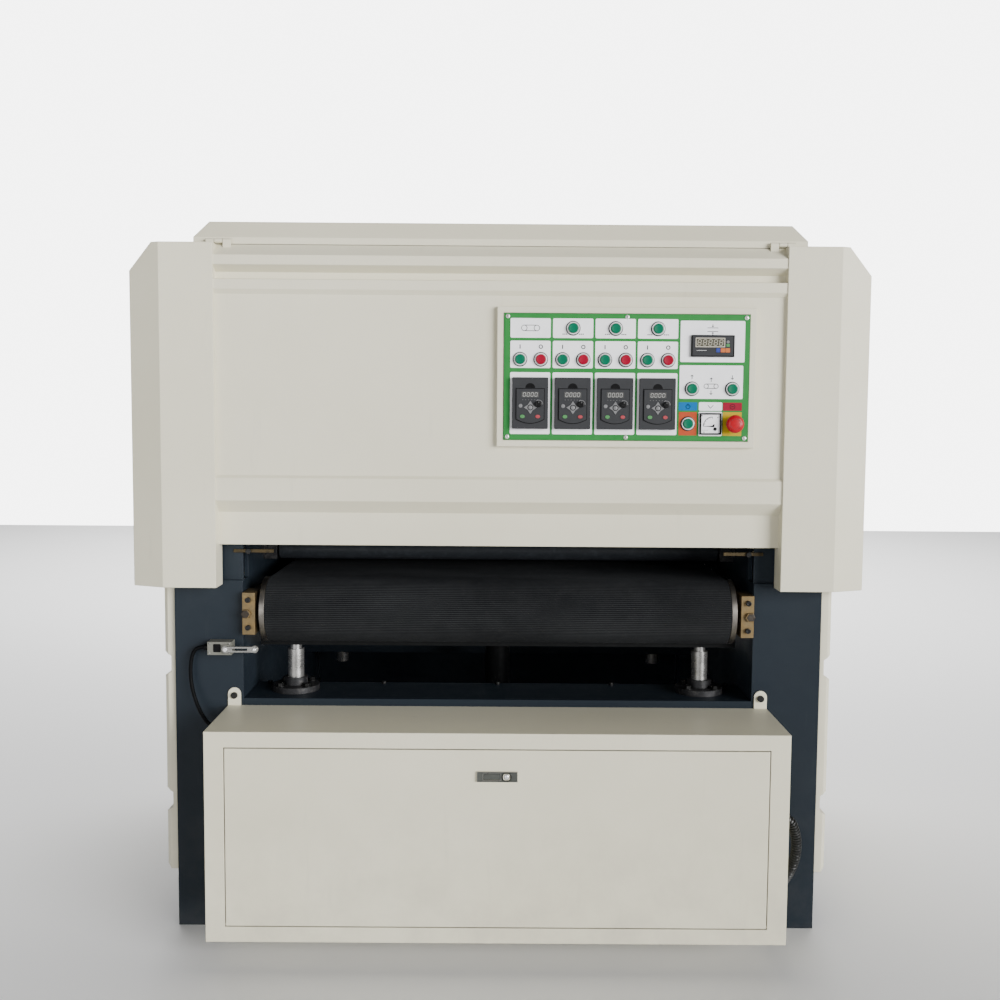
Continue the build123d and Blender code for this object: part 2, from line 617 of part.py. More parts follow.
def conveyor_side_bars():
    """Plated side bars with a bearing block at each end, and the tension screws in the blocks."""
    outer = BED_HALF - BAR_OUTER_GAP
    block_x = (BED_HALF - BLOCK_WIDTH, BED_HALF)
    bars = []
    for flip in (False, True):
        bar_y = (BAR_Y[0], DRIVE_ROLLER_Y + BAR_Y[1])
        bar = block((outer - BAR_THICKNESS, outer), bar_y, span(ROLLER_Z, BAR_HEIGHT))
        front = block(block_x, FRONT_BLOCK_Y, span(ROLLER_Z, BLOCK_HEIGHT))
        rear = block(block_x, span(DRIVE_ROLLER_Y, REAR_BLOCK_DEPTH), span(ROLLER_Z, BLOCK_HEIGHT))
        bar += front + rear
        middle = sum(block_x) / 2
        face = FRONT_BLOCK_Y[0]
        for z in (ROLLER_Z - BLOCK_SCREW_Z, ROLLER_Z + BLOCK_SCREW_Z):
            bar += rod("y", BLOCK_SCREW_R, face - BLOCK_SCREW_PROUD, face + 1, (middle, z))
        hexagon = extrude(RegularPolygon(TENSION_BOLT_R, 6), TENSION_BOLT_HEAD)
        place = Pos(middle + TENSION_BOLT_SHIFT, LEG_FACE_Y + face + 1, ROLLER_Z)
        bar += place * Rot(90, 0, 0) * hexagon
        for y in (FRONT_ROLLER_Y, DRIVE_ROLLER_Y):
            bar -= rod("x", JOURNAL_R + RUN, block_x[0] - 1, block_x[1] + 1, (y, ROLLER_Z))
        bars.append(opposite(bar) if flip else bar)
    return group(*bars)


def belt_ring(radius, half):
    """A solid with the belt's rounded outline at one radius, over its width."""
    middle = (FRONT_ROLLER_Y + DRIVE_ROLLER_Y) / 2
    length = DRIVE_ROLLER_Y - FRONT_ROLLER_Y + 2 * radius
    plane = Plane(origin=(-half, LEG_FACE_Y + middle, ROLLER_Z), x_dir=(0, 1, 0), z_dir=(1, 0, 0))
    return extrude(plane * SlotOverall(length, 2 * radius), 2 * half)


def conveyor_belt():
    """The rubber belt round both rollers."""
    return belt_ring(BELT_OUTER, BELT_HALF) - belt_ring(BELT_INNER, BELT_HALF + 1)


def conveyor_roller(y, long_end):
    """A roller with a guide ring at each end; long_end carries the gear reducer."""
    roller = rod("x", ROLLER_R, -BELT_HALF - GAP, BELT_HALF + GAP, (y, ROLLER_Z))
    for side in (-1, 1):
        x = sorted((side * (BELT_HALF + GAP), side * ROLLER_HALF))
        roller += rod("x", BELT_OUTER, *x, (y, ROLLER_Z))
    inside = BELT_HALF - 20
    roller -= ring("x", ROLLER_R - TUBE_WALL, JOURNAL_R + JOURNAL_WALL, -inside, inside, (y, ROLLER_Z))
    left = -BED_HALF - 60 if long_end else -BED_HALF + 4
    return roller + rod("x", JOURNAL_R, left, BED_HALF - 4, (y, ROLLER_Z))


def conveyor_gearmotor():
    """Hollow-shaft reducer on the drive roller's left end, with its motor pointing forward."""
    outer = -BED_HALF - 4
    y, z = DRIVE_ROLLER_Y, ROLLER_Z
    housing = block((outer - REDUCER_DEPTH, outer), span(y, REDUCER), span(z, REDUCER))
    housing += block((outer, -BED_HALF), span(y, REDUCER_SPIGOT), span(z, REDUCER_SPIGOT))
    motor_y = (y - REDUCER / 2 - GEARMOTOR_LENGTH, y - REDUCER / 2)
    housing += rod("y", GEARMOTOR_R, *motor_y, (outer - REDUCER_DEPTH * 2 / 3, z))
    return housing - rod("x", JOURNAL_R + RUN, outer - 70, -BED_HALF + 1, (y, z))


# ---- head ------------------------------------------------------------------------------------
def groove_x():
    """Where a pulley's groove starts and ends, between its rims."""
    return PULLEY_X[0] + PULLEY_RIM, PULLEY_X[1] - PULLEY_RIM


def grooved_pulley(radius, y, z):
    """A belt pulley between two rims."""
    pulley = rod("x", radius, *PULLEY_X, (y, z))
    return pulley - ring("x", radius + 1, radius - BELT_GROOVE, *groove_x(), (y, z))


def sanding_drum(y):
    """A steel drum with its journals, end discs and belt pulley."""
    drum = rod("x", DRUM_R, -DRUM_HALF, DRUM_HALF, (y, DRUM_Z))
    inside = DRUM_HALF - DRUM_END
    drum -= ring("x", DRUM_R - TUBE_WALL, DRUM_JOURNAL_R + DRUM_HUB, -inside, inside, (y, DRUM_Z))
    drum += rod("x", DRUM_JOURNAL_R, -BEARING_X[1] - 4, PULLEY_X[1], (y, DRUM_Z))
    return drum + grooved_pulley(DRUM_PULLEY_R, y, DRUM_Z)


def bearing_housings():
    """Flanged drum bearings outside the side plates, and the pressure rollers' brackets inside."""
    pieces = []
    for y in DRUM_Y:
        plate = (BEARING_X[0], BEARING_X[0] + BEARING_PLATE)
        body = block(plate, span(y, BEARING_FLANGE), span(DRUM_Z, BEARING_FLANGE))
        body += rod("x", BEARING_R, *BEARING_X, (y, DRUM_Z))
        body -= rod("x", DRUM_JOURNAL_R + RUN, BEARING_X[0] - 1, BEARING_X[1] + 1, (y, DRUM_Z))
        pieces += [body, opposite(body)]
    for y in PRESS_Y:
        x = (PRESS_HALF + 6, LEG_INNER)
        bracket = block(x, span(y, PRESS_BRACKET), (PRESS_Z - 24, PRESS_Z + 22))
        foot = (LEG_INNER - PRESS_FOOT[0], LEG_INNER)
        bracket += block(foot, span(y, PRESS_FOOT[1]), (PRESS_Z - 10, PRESS_Z + 70))
        bracket += rod("z", PRESS_SPRING_R, PRESS_Z + 20, PRESS_Z + 60, ((PRESS_HALF + LEG_INNER) / 2, y))
        bracket -= rod("x", PRESS_JOURNAL_R + RUN, x[0] - 1, x[1] - 9, (y, PRESS_Z))
        pieces += [bracket, opposite(bracket)]
    return group(*pieces)


def pressure_roller(y):
    """A hold-down roller with its journals."""
    roller = rod("x", PRESS_R, -PRESS_HALF, PRESS_HALF, (y, PRESS_Z))
    reach = LEG_INNER - 12
    return roller + rod("x", PRESS_JOURNAL_R, -reach, reach, (y, PRESS_Z))


def drum_motors():
    """Three foot-mounted motors on the motor deck, with their fan cowls."""
    motors = []
    for y in DRUM_Y:
        motor = rod("x", MOTOR_R, *MOTOR_X, (y, MOTOR_Z))
        motor += rod("x", MOTOR_R + 4, MOTOR_X[0] - MOTOR_FAN, MOTOR_X[0], (y, MOTOR_Z))
        foot = (MOTOR_DECK_TOP, MOTOR_DECK_TOP + MOTOR_FOOT)
        motor += block((MOTOR_X[0] + 40, MOTOR_X[1] - 60), span(y, MOTOR_FOOT_WIDTH), foot)
        motor += block((MOTOR_X[0] + 60, MOTOR_X[1] - 80), span(y, MOTOR_STAND), (MOTOR_DECK_TOP, MOTOR_Z))
        motor += rod("x", MOTOR_SHAFT_R + 8, MOTOR_X[1], LEG_INNER + 30, (y, MOTOR_Z))
        bore = rod("x", MOTOR_SHAFT_R + RUN, MOTOR_X[1] - MOTOR_BORE, LEG_INNER + 31, (y, MOTOR_Z))
        motors.append(motor - bore)
    return group(*motors)


def motor_pulley(y):
    """A motor's shaft with its belt pulley."""
    shaft = rod("x", MOTOR_SHAFT_R, MOTOR_X[1] - MOTOR_BORE + GAP, PULLEY_X[1], (y, MOTOR_Z))
    return shaft + grooved_pulley(MOTOR_PULLEY_R, y, MOTOR_Z)


def belt_band(y, low_r, high_r):
    """A solid with the outline of a belt round two pulleys of unlike size."""
    drop = MOTOR_Z - DRUM_Z
    lean = math.asin((high_r - low_r) / drop)
    side = [(r * math.cos(lean), z + r * math.sin(-lean)) for r, z in ((low_r, DRUM_Z), (high_r, MOTOR_Z))]
    quad = [(y + side[0][0], side[0][1]), (y + side[1][0], side[1][1])]
    quad += [(y - side[1][0], side[1][1]), (y - side[0][0], side[0][1])]
    x = (groove_x()[0] + FIT, groove_x()[1] - FIT)
    band = along_x(quad, *x) + rod("x", low_r, *x, (y, DRUM_Z))
    return band + rod("x", high_r, *x, (y, MOTOR_Z)), x


def drive_belts():
    """One belt for each drum, from its motor's pulley down to its own."""
    belts = []
    for y in DRUM_Y:
        low = DRUM_PULLEY_R - BELT_GROOVE + FIT
        high = MOTOR_PULLEY_R - BELT_GROOVE + FIT
        outer, x = belt_band(y, low + DRIVE_BELT, high + DRIVE_BELT)
        inner, _ = belt_band(y, low, high)
        hollow = inner
        for shift in (-20, 20):
            hollow += Pos(shift, 0, 0) * inner
        belts.append(outer - hollow)
    return group(*belts)


# ---- covers ----------------------------------------------------------------------------------
def post_section():
    """Outline of the right post's sheet, seen from above."""
    chamfer = -POST_PROUD + POST_CHAMFER_DEPTH
    points = [(COVER_HALF, -9.0), (COVER_HALF, chamfer), (POST_FLAT_OUTER, -POST_PROUD)]
    points += [(POST_INNER, -POST_PROUD), (POST_INNER, -GAP)]
    return sheet_outline(points, -SHEET)


def corner_wedge(y):
    """What the 45-degree cut takes off the right post's top outer corner."""
    across, down = CORNER_CUT
    points = [(COVER_HALF - across, COVER_TOP), (COVER_HALF + 5, COVER_TOP - down - 5 * down / across)]
    points += [(COVER_HALF + 5, COVER_TOP + 5), (COVER_HALF - across, COVER_TOP + 5)]
    return along_y(points, *y)


def corner_plate():
    """The sheet that closes the post's top, along the flat and the cut."""
    across, down = CORNER_CUT
    chamfer = -POST_PROUD + POST_CHAMFER_DEPTH
    top = [(POST_INNER, COVER_TOP), (COVER_HALF - across, COVER_TOP), (COVER_HALF, COVER_TOP - down)]
    plate = along_y(sheet_outline(top, -SHEET), -POST_PROUD, -9.0)
    corner = [(POST_FLAT_OUTER, -POST_PROUD), (COVER_HALF, chamfer), (COVER_HALF + 5, -POST_PROUD - 5)]
    return plate - along_z(corner, COVER_TOP - down - 5, COVER_TOP + 5)


def post():
    """The right post: folded sheet, cut corner and top plate."""
    body = along_z(post_section(), POST_BOTTOM, COVER_TOP)
    return (body - corner_wedge((-POST_PROUD - 5, 5))) + corner_plate()


def ridged_profile():
    """Front sheet between the posts, from the hinge line down to the infeed lip."""
    face = -POST_PROUD
    back = face + RECESS
    ridge, groove, lip = face + 2, face + RIDGE_STEP, face + LIP_SETBACK
    points = [(LID_FRONT - GAP, COVER_TOP)]
    bands = [(ridge, UPPER_RIDGE_Z), (groove, UPPER_GROOVE_Z), (ridge, LOWER_RIDGE_Z)]
    bands += [(back, MAIN_PANEL_Z), (face + 4, LOWER_RIB_Z), (lip, (LIP_TOP, LIP_BOTTOM))]
    for y, heights in bands:
        points += [(y, z) for z in heights]
    return points


def plain_profile():
    """Rear sheet between the posts: flat, with the same lip."""
    face = -POST_PROUD
    lip = face + LIP_SETBACK
    points = [(LID_FRONT - GAP, COVER_TOP), (face + RECESS, UPPER_RIDGE_Z[0])]
    points += [(face + RECESS, LOWER_RIB_Z[1]), (lip, LIP_TOP), (lip, LIP_BOTTOM)]
    return points


def cover(profile):
    """A cover with two posts and the profiled sheet between them."""
    between = along_x(sheet_outline(profile, SHEET), -POST_INNER - 1, POST_INNER + 1)
    right = post()
    return between + right + opposite(right)


def front_cover():
    """Front cover with the lid's hinge knuckles and pins."""
    shape = cover(ridged_profile())
    for side in (-1, 1):
        middle = side * LID_HINGE_X
        for end in (-1, 1):
            x = span(middle + end * LID_HINGE_LENGTH / 3, LID_HINGE_LENGTH / 3 - GAP)
            shape += rod("x", LID_KNUCKLE_R, *x, (LID_HINGE_Y, LID_HINGE_Z))
            web_y = (LID_HINGE_Y - LID_KNUCKLE_R, LID_HINGE_Y)
            shape += block(x, web_y, (COVER_TOP - RECESS, LID_HINGE_Z))
        shape += rod("x", LID_PIN_R, *span(middle, LID_HINGE_LENGTH), (LID_HINGE_Y, LID_HINGE_Z))
    return shape


def rear_cover():
    """Rear cover with its three round dust outlets."""
    middle = LEG_FACE_Y + FRAME_DEPTH / 2
    shape = mirror(cover(plain_profile()), about=Plane.XZ.offset(-middle))
    wall = REAR_FACE - RECESS
    for x in SPIGOT_X:
        shape -= rod("y", SPIGOT_R - SHEET, wall - SHEET - 5, wall + 5, (x, SPIGOT_Z))
    end = REAR_FACE + SPIGOT_LENGTH
    spigots = [ring("y", SPIGOT_R, SPIGOT_R - SHEET, wall, end, (x, SPIGOT_Z)) for x in SPIGOT_X]
    return group(shape, *spigots)


def side_covers():
    """Upper side covers between the front and rear covers, with the same cut corner."""
    across, down = CORNER_CUT
    points = [(POST_INNER + 10, COVER_TOP), (COVER_HALF - across, COVER_TOP)]
    points += [(COVER_HALF, COVER_TOP - down), (COVER_HALF, POST_BOTTOM + 2)]
    points.append((FRAME_HALF + 4, POST_BOTTOM + 2))
    right = along_y(sheet_outline(points, -SHEET), -8, FRAME_DEPTH + 8)
    right += block(
        (LEG_INNER + FRAME_WALL, POST_INNER + 30),
        (HEAD_SETBACK, FRAME_DEPTH - HEAD_SETBACK),
        (HEAD_TOP, COVER_TOP - SHEET),
    )
    return group(right, opposite(right))


def top_lid():
    """Hollow lid with a straight lip and sloping sides, hinged at the front."""
    depth = FRAME_DEPTH - 2 * LID_FRONT
    taper = math.degrees(math.atan(LID_INSET / (LID_TOP - LID_LIP[1])))

    def hood(inset, top):
        middle = LEG_FACE_Y + FRAME_DEPTH / 2
        base = Rectangle(2 * (LID_HALF - inset), depth - 2 * inset)
        lip = extrude(Pos(0, middle, LID_LIP[0]) * base, LID_LIP[1] - LID_LIP[0])
        return lip + extrude(Pos(0, middle, LID_LIP[1]) * base, top - LID_LIP[1], taper=taper)

    lid = hood(0, LID_TOP) - Pos(0, 0, -0.01) * hood(SHEET, LID_TOP - SHEET)
    for side in (-1, 1):
        x = span(side * LID_HINGE_X, LID_HINGE_LENGTH / 3 - GAP)
        knuckle = rod("x", LID_KNUCKLE_R, *x, (LID_HINGE_Y, LID_HINGE_Z))
        knuckle += block(x, (LID_HINGE_Y, LID_FRONT + 1), (LID_HINGE_Z - 2, LID_HINGE_Z + LID_KNUCKLE_R))
        lid += knuckle - rod("x", LID_PIN_R + RUN, x[0] - 1, x[1] + 1, (LID_HINGE_Y, LID_HINGE_Z))
    return lid


def side_door():
    """Right lower side door: a shallow pan with two grooves and its hinge knuckles."""
    inner, outer = SIDE_DOOR_INNER, SIDE_DOOR_INNER + SIDE_DOOR_THICKNESS
    bevel = 10.0
    outline = [(inner, SIDE_DOOR_Z[0]), (outer - bevel, SIDE_DOOR_Z[0]), (outer, SIDE_DOOR_Z[0] + bevel)]
    for z in GROOVE_Z:
        low, high = span(z, GROOVE_HEIGHT)
        floor = outer - GROOVE_DEPTH
        outline += [(outer, low), (floor, low + GROOVE_SLANT), (floor, high - GROOVE_SLANT), (outer, high)]
    outline += [(outer, SIDE_DOOR_Z[1]), (inner, SIDE_DOOR_Z[1])]
    door = along_y(outline, *SIDE_DOOR_Y)
    wall = GROOVE_DEPTH + SHEET + 2
    hollow_y = (SIDE_DOOR_Y[0] + SHEET + 8, SIDE_DOOR_Y[1] - SHEET - 8)
    door -= block((inner - 1, outer - wall), hollow_y, (SIDE_DOOR_Z[0] + 14, SIDE_DOOR_Z[1] - 8))
    front = SIDE_DOOR_Y[0]
    bevel_cut = [(outer + 1, front - 1), (outer - bevel, front - 1), (outer + 1, front + bevel)]
    door -= along_z(bevel_cut, SIDE_DOOR_Z[0] - 1, SIDE_DOOR_Z[1] + 1)
    for z in SIDE_HINGE_Z:
        web = block(span(HINGE_X - 2, 8), (SIDE_DOOR_Y[1] - 4, HINGE_Y), (z + GAP / 2, z + HINGE_HALF_LENGTH))
        knuckle = web + rod("z", HINGE_R, z + GAP / 2, z + HINGE_HALF_LENGTH, (HINGE_X, HINGE_Y))
        door += knuckle
        door -= rod("z", HINGE_PIN_R + RUN, z - 1, z + HINGE_PIN_END + 1, (HINGE_X, HINGE_Y))
    return door


# ---- electrical cabinet ----------------------------------------------------------------------
def electrical_cabinet():
    """Sheet box on the front of the legs, open at its door, with tabs and door hinge pins."""
    x = (-CABINET_HALF, CABINET_HALF)
    box = block(x, (-CABINET_DEPTH, 0), CABINET_Z)
    inside = (CABINET_Z[0] + SHEET, CABINET_Z[1] - SHEET)
    box -= block((x[0] + SHEET, x[1] - SHEET), (-CABINET_DEPTH + SHEET, -SHEET), inside)
    opening_x = (-DOOR_X - DOOR_GAP, DOOR_X + DOOR_GAP)
    opening_z = (DOOR_Z[0] - DOOR_GAP, DOOR_Z[1] + DOOR_GAP)
    box -= block(opening_x, (-CABINET_DEPTH - 1, -CABINET_DEPTH + SHEET + 1), opening_z)
    for side in (-1, 1):
        tab_x = span(side * CABINET_TAB_X, 2 * TAB_R)
        tab_top = CABINET_Z[1] + TAB_RISE
        tab = block(tab_x, (-SHEET, 0), (CABINET_Z[1] - 2, tab_top))
        box += tab + rod("y", TAB_R, -SHEET, 0, (side * CABINET_TAB_X, tab_top))
    for side in (-1, 1):
        pin_x = sorted((side * (DOOR_X - 15), side * (DOOR_X + 10)))
        box += rod("x", DOOR_PIN_R, *pin_x, (DOOR_HINGE_Y, DOOR_HINGE_Z))
    return box


def cabinet_door():
    """Drop-down door with a folded rim, hinged along its lower edge, with the lock's plate."""
    front = (-CABINET_DEPTH, -CABINET_DEPTH + SHEET)
    door = block((-DOOR_X, DOOR_X), front, DOOR_Z)
    rim = block((-DOOR_X + 4, DOOR_X - 4), (front[1], front[1] + 14), (DOOR_Z[0] + 14, DOOR_Z[1] - 4))
    rim -= block((-DOOR_X + 7, DOOR_X - 7), (front[1] - 1, front[1] + 15), (DOOR_Z[0] + 17, DOOR_Z[1] - 7))
    door += rim
    door += block((-DOOR_X, DOOR_X), (front[0], front[0] + 8), (DOOR_Z[0], DOOR_Z[0] + 8))
    for side in (-1, 1):
        pin_x = sorted((side * (DOOR_X - 16), side * (DOOR_X + 1)))
        door -= rod("x", DOOR_PIN_R + RUN, *pin_x, (DOOR_HINGE_Y, DOOR_HINGE_Z))
    plate = block(span(0, LOCK_SIZE[0]), (front[0] - LOCK_SIZE[1], front[0]), span(LOCK_Z, LOCK_SIZE[2]))
    back = block(span(0, LOCK_SIZE[0] - 8), (front[1] - 1, front[1] + 16), span(LOCK_Z, LOCK_SIZE[2]))
    door += plate + back
    pocket_y = (front[0] - LOCK_SIZE[1] - 1, front[0] + 2)
    door -= block(HANDLE_X, pocket_y, span(LOCK_Z, HANDLE_HEIGHT))
    return door - rod("y", LOCK_BUTTON_R + BUTTON_SLOT, pocket_y[0], front[0] + 8, (LOCK_BUTTON_X, LOCK_Z))


def lock_handle():
    """Flush handle of the door's lock, hinged at its right end."""
    y = (-CABINET_DEPTH - LOCK_SIZE[1] + 0.5, -CABINET_DEPTH + 1.5)
    x = (HANDLE_X[0] + GAP, HANDLE_X[1] - GAP)
    return block(x, y, span(LOCK_Z, HANDLE_HEIGHT - 2 * GAP))


def lock_button():
    """Round push button that frees the handle."""
    y = (-CABINET_DEPTH - LOCK_SIZE[1], -CABINET_DEPTH + 4)
    return rod("y", LOCK_BUTTON_R, *y, (LOCK_BUTTON_X, LOCK_Z))


def electrical_gear():
    """Mounting plate with four drives, a row of contactors and the terminal strip."""
    front = -SHEET - PLATE_GAP - SHEET
    half = CABINET_HALF - PLATE_INSET
    z = (CABINET_Z[0] + PLATE_RAISE, CABINET_Z[1] - PLATE_RAISE)
    gear = block((-half, half), (front, front + SHEET), z)
    for stud_x in (-half + STUD_INSET, half - STUD_INSET):
        for stud_z in (z[0] + STUD_INSET, z[1] - STUD_INSET):
            gear += rod("y", STUD_R, front + SHEET - 1, -SHEET, (stud_x, stud_z))
    rows = [(FIRST_DRIVE_X, 4, DRIVE_UNIT), (FIRST_CONTACTOR_X, 7, CONTACTOR)]
    for first, count, (width, depth, pitch, heights) in rows:
        for i in range(count):
            gear += block(span(first + pitch * i, width), (front - depth, front + 1), heights)
    for x, depth, heights in (TERMINALS, TRANSFORMER):
        gear += block(x, (front - depth, front + 1), heights)
    return gear


# ---- control panel ---------------------------------------------------------------------------
def start_places():
    return [(x - PAIR_OFFSET, PAIR_ROW_Z) for x in FIELD_X]


def stop_places():
    return [(x + PAIR_OFFSET, PAIR_ROW_Z) for x in FIELD_X]


def button_places():
    """Every sprung push button: starts, stops, up and down."""
    return start_places() + stop_places() + [(UP_X, LIFT_ROW_Z), (DOWN_X, LIFT_ROW_Z)]


def lamp_places():
    return [(x, LAMP_ROW_Z) for x in FIELD_X[1:]] + [(POWER_X, LOW_ROW_Z)]


def button_hole(x, z):
    """The hole through the plate for one button's plunger."""
    return rod("y", BUTTON_R + BUTTON_SLOT, PLATE_FRONT - 1, PANEL_FRONT + 8, (x, z))


def panel_box():
    """Shallow box that holds the control plate on the front cover."""
    x = span(PANEL_X, PANEL_SIZE[0])
    z = span(PANEL_Z, PANEL_SIZE[1])
    box = block(x, (PANEL_FRONT, PANEL_BACK), z)
    inner = 14.0
    inside_z = (z[0] + inner, z[1] - inner)
    return box - block((x[0] + inner, x[1] - inner), (PANEL_FRONT - 1, PANEL_BACK - 2), inside_z)


def panel_plate():
    """The coloured control plate with a hole for each button and a pocket for the stop."""
    plate = block(span(PANEL_X, PLATE_SIZE[0]), (PLATE_FRONT, PANEL_FRONT), span(PANEL_Z, PLATE_SIZE[1]))
    for x, z in button_places():
        plate -= button_hole(x, z)
    return plate - rod("y", STOP_STEM_R + BUTTON_SLOT, PLATE_FRONT - 1, PANEL_FRONT + 1, (STOP_X, LOW_ROW_Z))


def button_bezels():
    """Round collars, one for each push button and one for the emergency stop."""
    bezels = []
    for x, z in button_places():
        bezels.append(
            ring("y", BEZEL_R, BUTTON_R + BUTTON_SLOT, BEZEL_FRONT, PLATE_FRONT, (x, z))
        )
    stop = ring("y", BEZEL_R, STOP_STEM_R + BUTTON_SLOT, BEZEL_FRONT, PLATE_FRONT, (STOP_X, LOW_ROW_Z))
    return group(*bezels, stop)


def push_button(x, z):
    """A cap with its plunger; it stands proud of its bezel by a little more than its travel."""
    front = BEZEL_FRONT - BUTTON_PROUD
    return rod("y", BUTTON_R, front, PLATE_FRONT + 2, (x, z))


def emergency_stop():
    """Mushroom head with a rounded rim on its stem."""
    base = BEZEL_FRONT - STOP_TRAVEL - GAP
    head = rod("y", STOP_R, base - 14, base, (STOP_X, LOW_ROW_Z))
    head = fillet(head.edges().filter_by(GeomType.CIRCLE).sort_by(Axis.Y)[0], 6)
    return head + rod("y", STOP_STEM_R, base - 1, PLATE_FRONT + 1, (STOP_X, LOW_ROW_Z))


def pilot_lamps():
    """Lamps with a low domed lens in a collar."""
    lamps = []
    for x, z in lamp_places():
        collar = rod("y", BEZEL_R, BEZEL_FRONT, PLATE_FRONT, (x, z))
        lens = rod("y", BUTTON_R, BEZEL_FRONT - 5, BEZEL_FRONT + 1, (x, z))
        lamps.append(collar + fillet(lens.edges().filter_by(GeomType.CIRCLE).sort_by(Axis.Y)[0], 3))
    return group(*lamps)


def keypad_front():
    return PLATE_FRONT - KEYPAD_SIZE[1]


def drive_keypads():
    """Four drive keypads: a case with a notch at the top and a raised key field."""
    pads = []
    for x in FIELD_X:
        width, depth, height = KEYPAD_SIZE
        face, field_top = keypad_front(), KEYPAD_Z + KEY_FIELD_Z[1]
        field_y, arc_z = (face, face + FRONT_STEP), KEYPAD_Z + KEY_ARC_Z
        case = block(span(x, width), (face + 3, PLATE_FRONT), span(KEYPAD_Z, height))
        case += block(span(x, KEY_FIELD), field_y, (KEYPAD_Z + KEY_FIELD_Z[0], field_top))
        low = rod("y", KEY_FIELD / 2, *field_y, (x, arc_z))
        case += low & block(span(x, KEY_FIELD), field_y, (arc_z - 24, arc_z + 2))
        notch = rod("y", NOTCH_R, face - 1, face + 8, (x, field_top))
        case -= notch & block(span(x, 30), (face - 1, face + 9), (field_top, field_top + 18))
        knob_at = (x + KNOB_OFFSET[0], KEYPAD_Z + KNOB_OFFSET[1])
        case -= rod("y", KNOB_STEM_R + RUN, face - 1, face + 8, knob_at)
        pads.append(case)
    return group(*pads)


def speed_knob(x):
    """Speed knob with a pointer notch, on its stem."""
    across = (x + KNOB_OFFSET[0], KEYPAD_Z + KNOB_OFFSET[1])
    front = keypad_front()
    knob = rod("y", KNOB_R, front - 9, front - 0.5, across)
    knob -= block(span(across[0], 1.6), (front - 10, front - 8), (across[1] + 2, across[1] + KNOB_R + 1))
    return knob + rod("y", KNOB_STEM_R, front - 1, front + 7, across)


def panel_instruments():
    """Thickness readout and voltmeter, each a framed case on the plate."""
    readout_x, readout_z = READOUT
    width, height = READOUT_SIZE
    readout = block(span(readout_x, width), (PLATE_FRONT - 6, PLATE_FRONT), span(readout_z, height))
    window_x = span(readout_x, width - 2 * READOUT_RIM)
    window_z = span(readout_z, height - 2 * READOUT_RIM)
    readout -= block(window_x, (PLATE_FRONT - 7, PLATE_FRONT - 4), window_z)
    meter = block(span(METER_X, METER_SIZE), (PLATE_FRONT - 7, PLATE_FRONT), span(LOW_ROW_Z, METER_SIZE))
    dial_z = [LOW_ROW_Z + z for z in METER_WINDOW_Z]
    dial_x = span(METER_X, METER_SIZE - 2 * METER_RIM)
    meter -= block(dial_x, (PLATE_FRONT - 8, PLATE_FRONT - 5), dial_z)
    return group(readout, meter)


# ---- limit switch and cables -----------------------------------------------------------------
def limit_switch():
    """Limit switch on the left leg, with its head and the cable's gland."""
    width, depth, height = SWITCH_SIZE
    body = block(span(SWITCH_X, width), (-depth, 0), span(SWITCH_Z, height))
    radius, proud = SWITCH_HEAD
    body += rod("y", radius, -depth - proud, -depth + 1, (LEVER_PIVOT_X, SWITCH_Z))
    body += rod("x", GLAND[0], SWITCH_END_X, SWITCH_X - width / 2 + 1, (SWITCH_MID_Y, SWITCH_Z))
    return body - rod("y", SPINDLE_R + RUN, -depth - 6, -depth + 12, (LEVER_PIVOT_X, SWITCH_Z))


def limit_lever():
    """Slotted lever with a roller at its tip, on the switch's spindle."""
    y = (LEVER_Y - 3, LEVER_Y + 2)
    tip = LEVER_PIVOT_X + LEVER_LENGTH
    lever = block((LEVER_PIVOT_X, tip), y, span(SWITCH_Z, LEVER_WIDTH))
    lever += rod("y", 8, *y, (LEVER_PIVOT_X, SWITCH_Z)) + rod("y", LEVER_WIDTH / 2, *y, (tip, SWITCH_Z))
    lever -= block((LEVER_PIVOT_X + 16, tip - 16), (y[0] - 1, y[1] + 1), span(SWITCH_Z, LEVER_SLOT))
    lever += rod("y", LEVER_ROLLER_R, y[1] - 1, y[1] + 6, (tip, SWITCH_Z))
    return lever + rod("y", SPINDLE_R, y[1] - 1, -SWITCH_SIZE[1] + 10, (LEVER_PIVOT_X, SWITCH_Z))


def cable(points, radius):
    """A tube along straight runs joined by tangent arcs as large as the runs allow."""
    points = [Vector(x, LEG_FACE_Y + y, z) for x, y, z in points]
    radii = []
    for before, here, after in zip(points, points[1:], points[2:]):
        into, out = here - before, after - here
        half_turn = math.radians(into.get_angle(out)) / 2
        radii.append(0.45 * min(into.length, out.length) / math.tan(half_turn))
    path = FilletPolyline(*points, radius=radii)
    start = path @ 0
    section = Plane(origin=start, z_dir=path % 0) * Circle(radius)
    tube = sweep(section, path=path)
    expected = math.pi * radius**2 * path.length
    print("cable radii", [round(r) for r in radii], "length", round(path.length),
          "volume over section x length", round(tube.volume / expected, 4))
    return tube


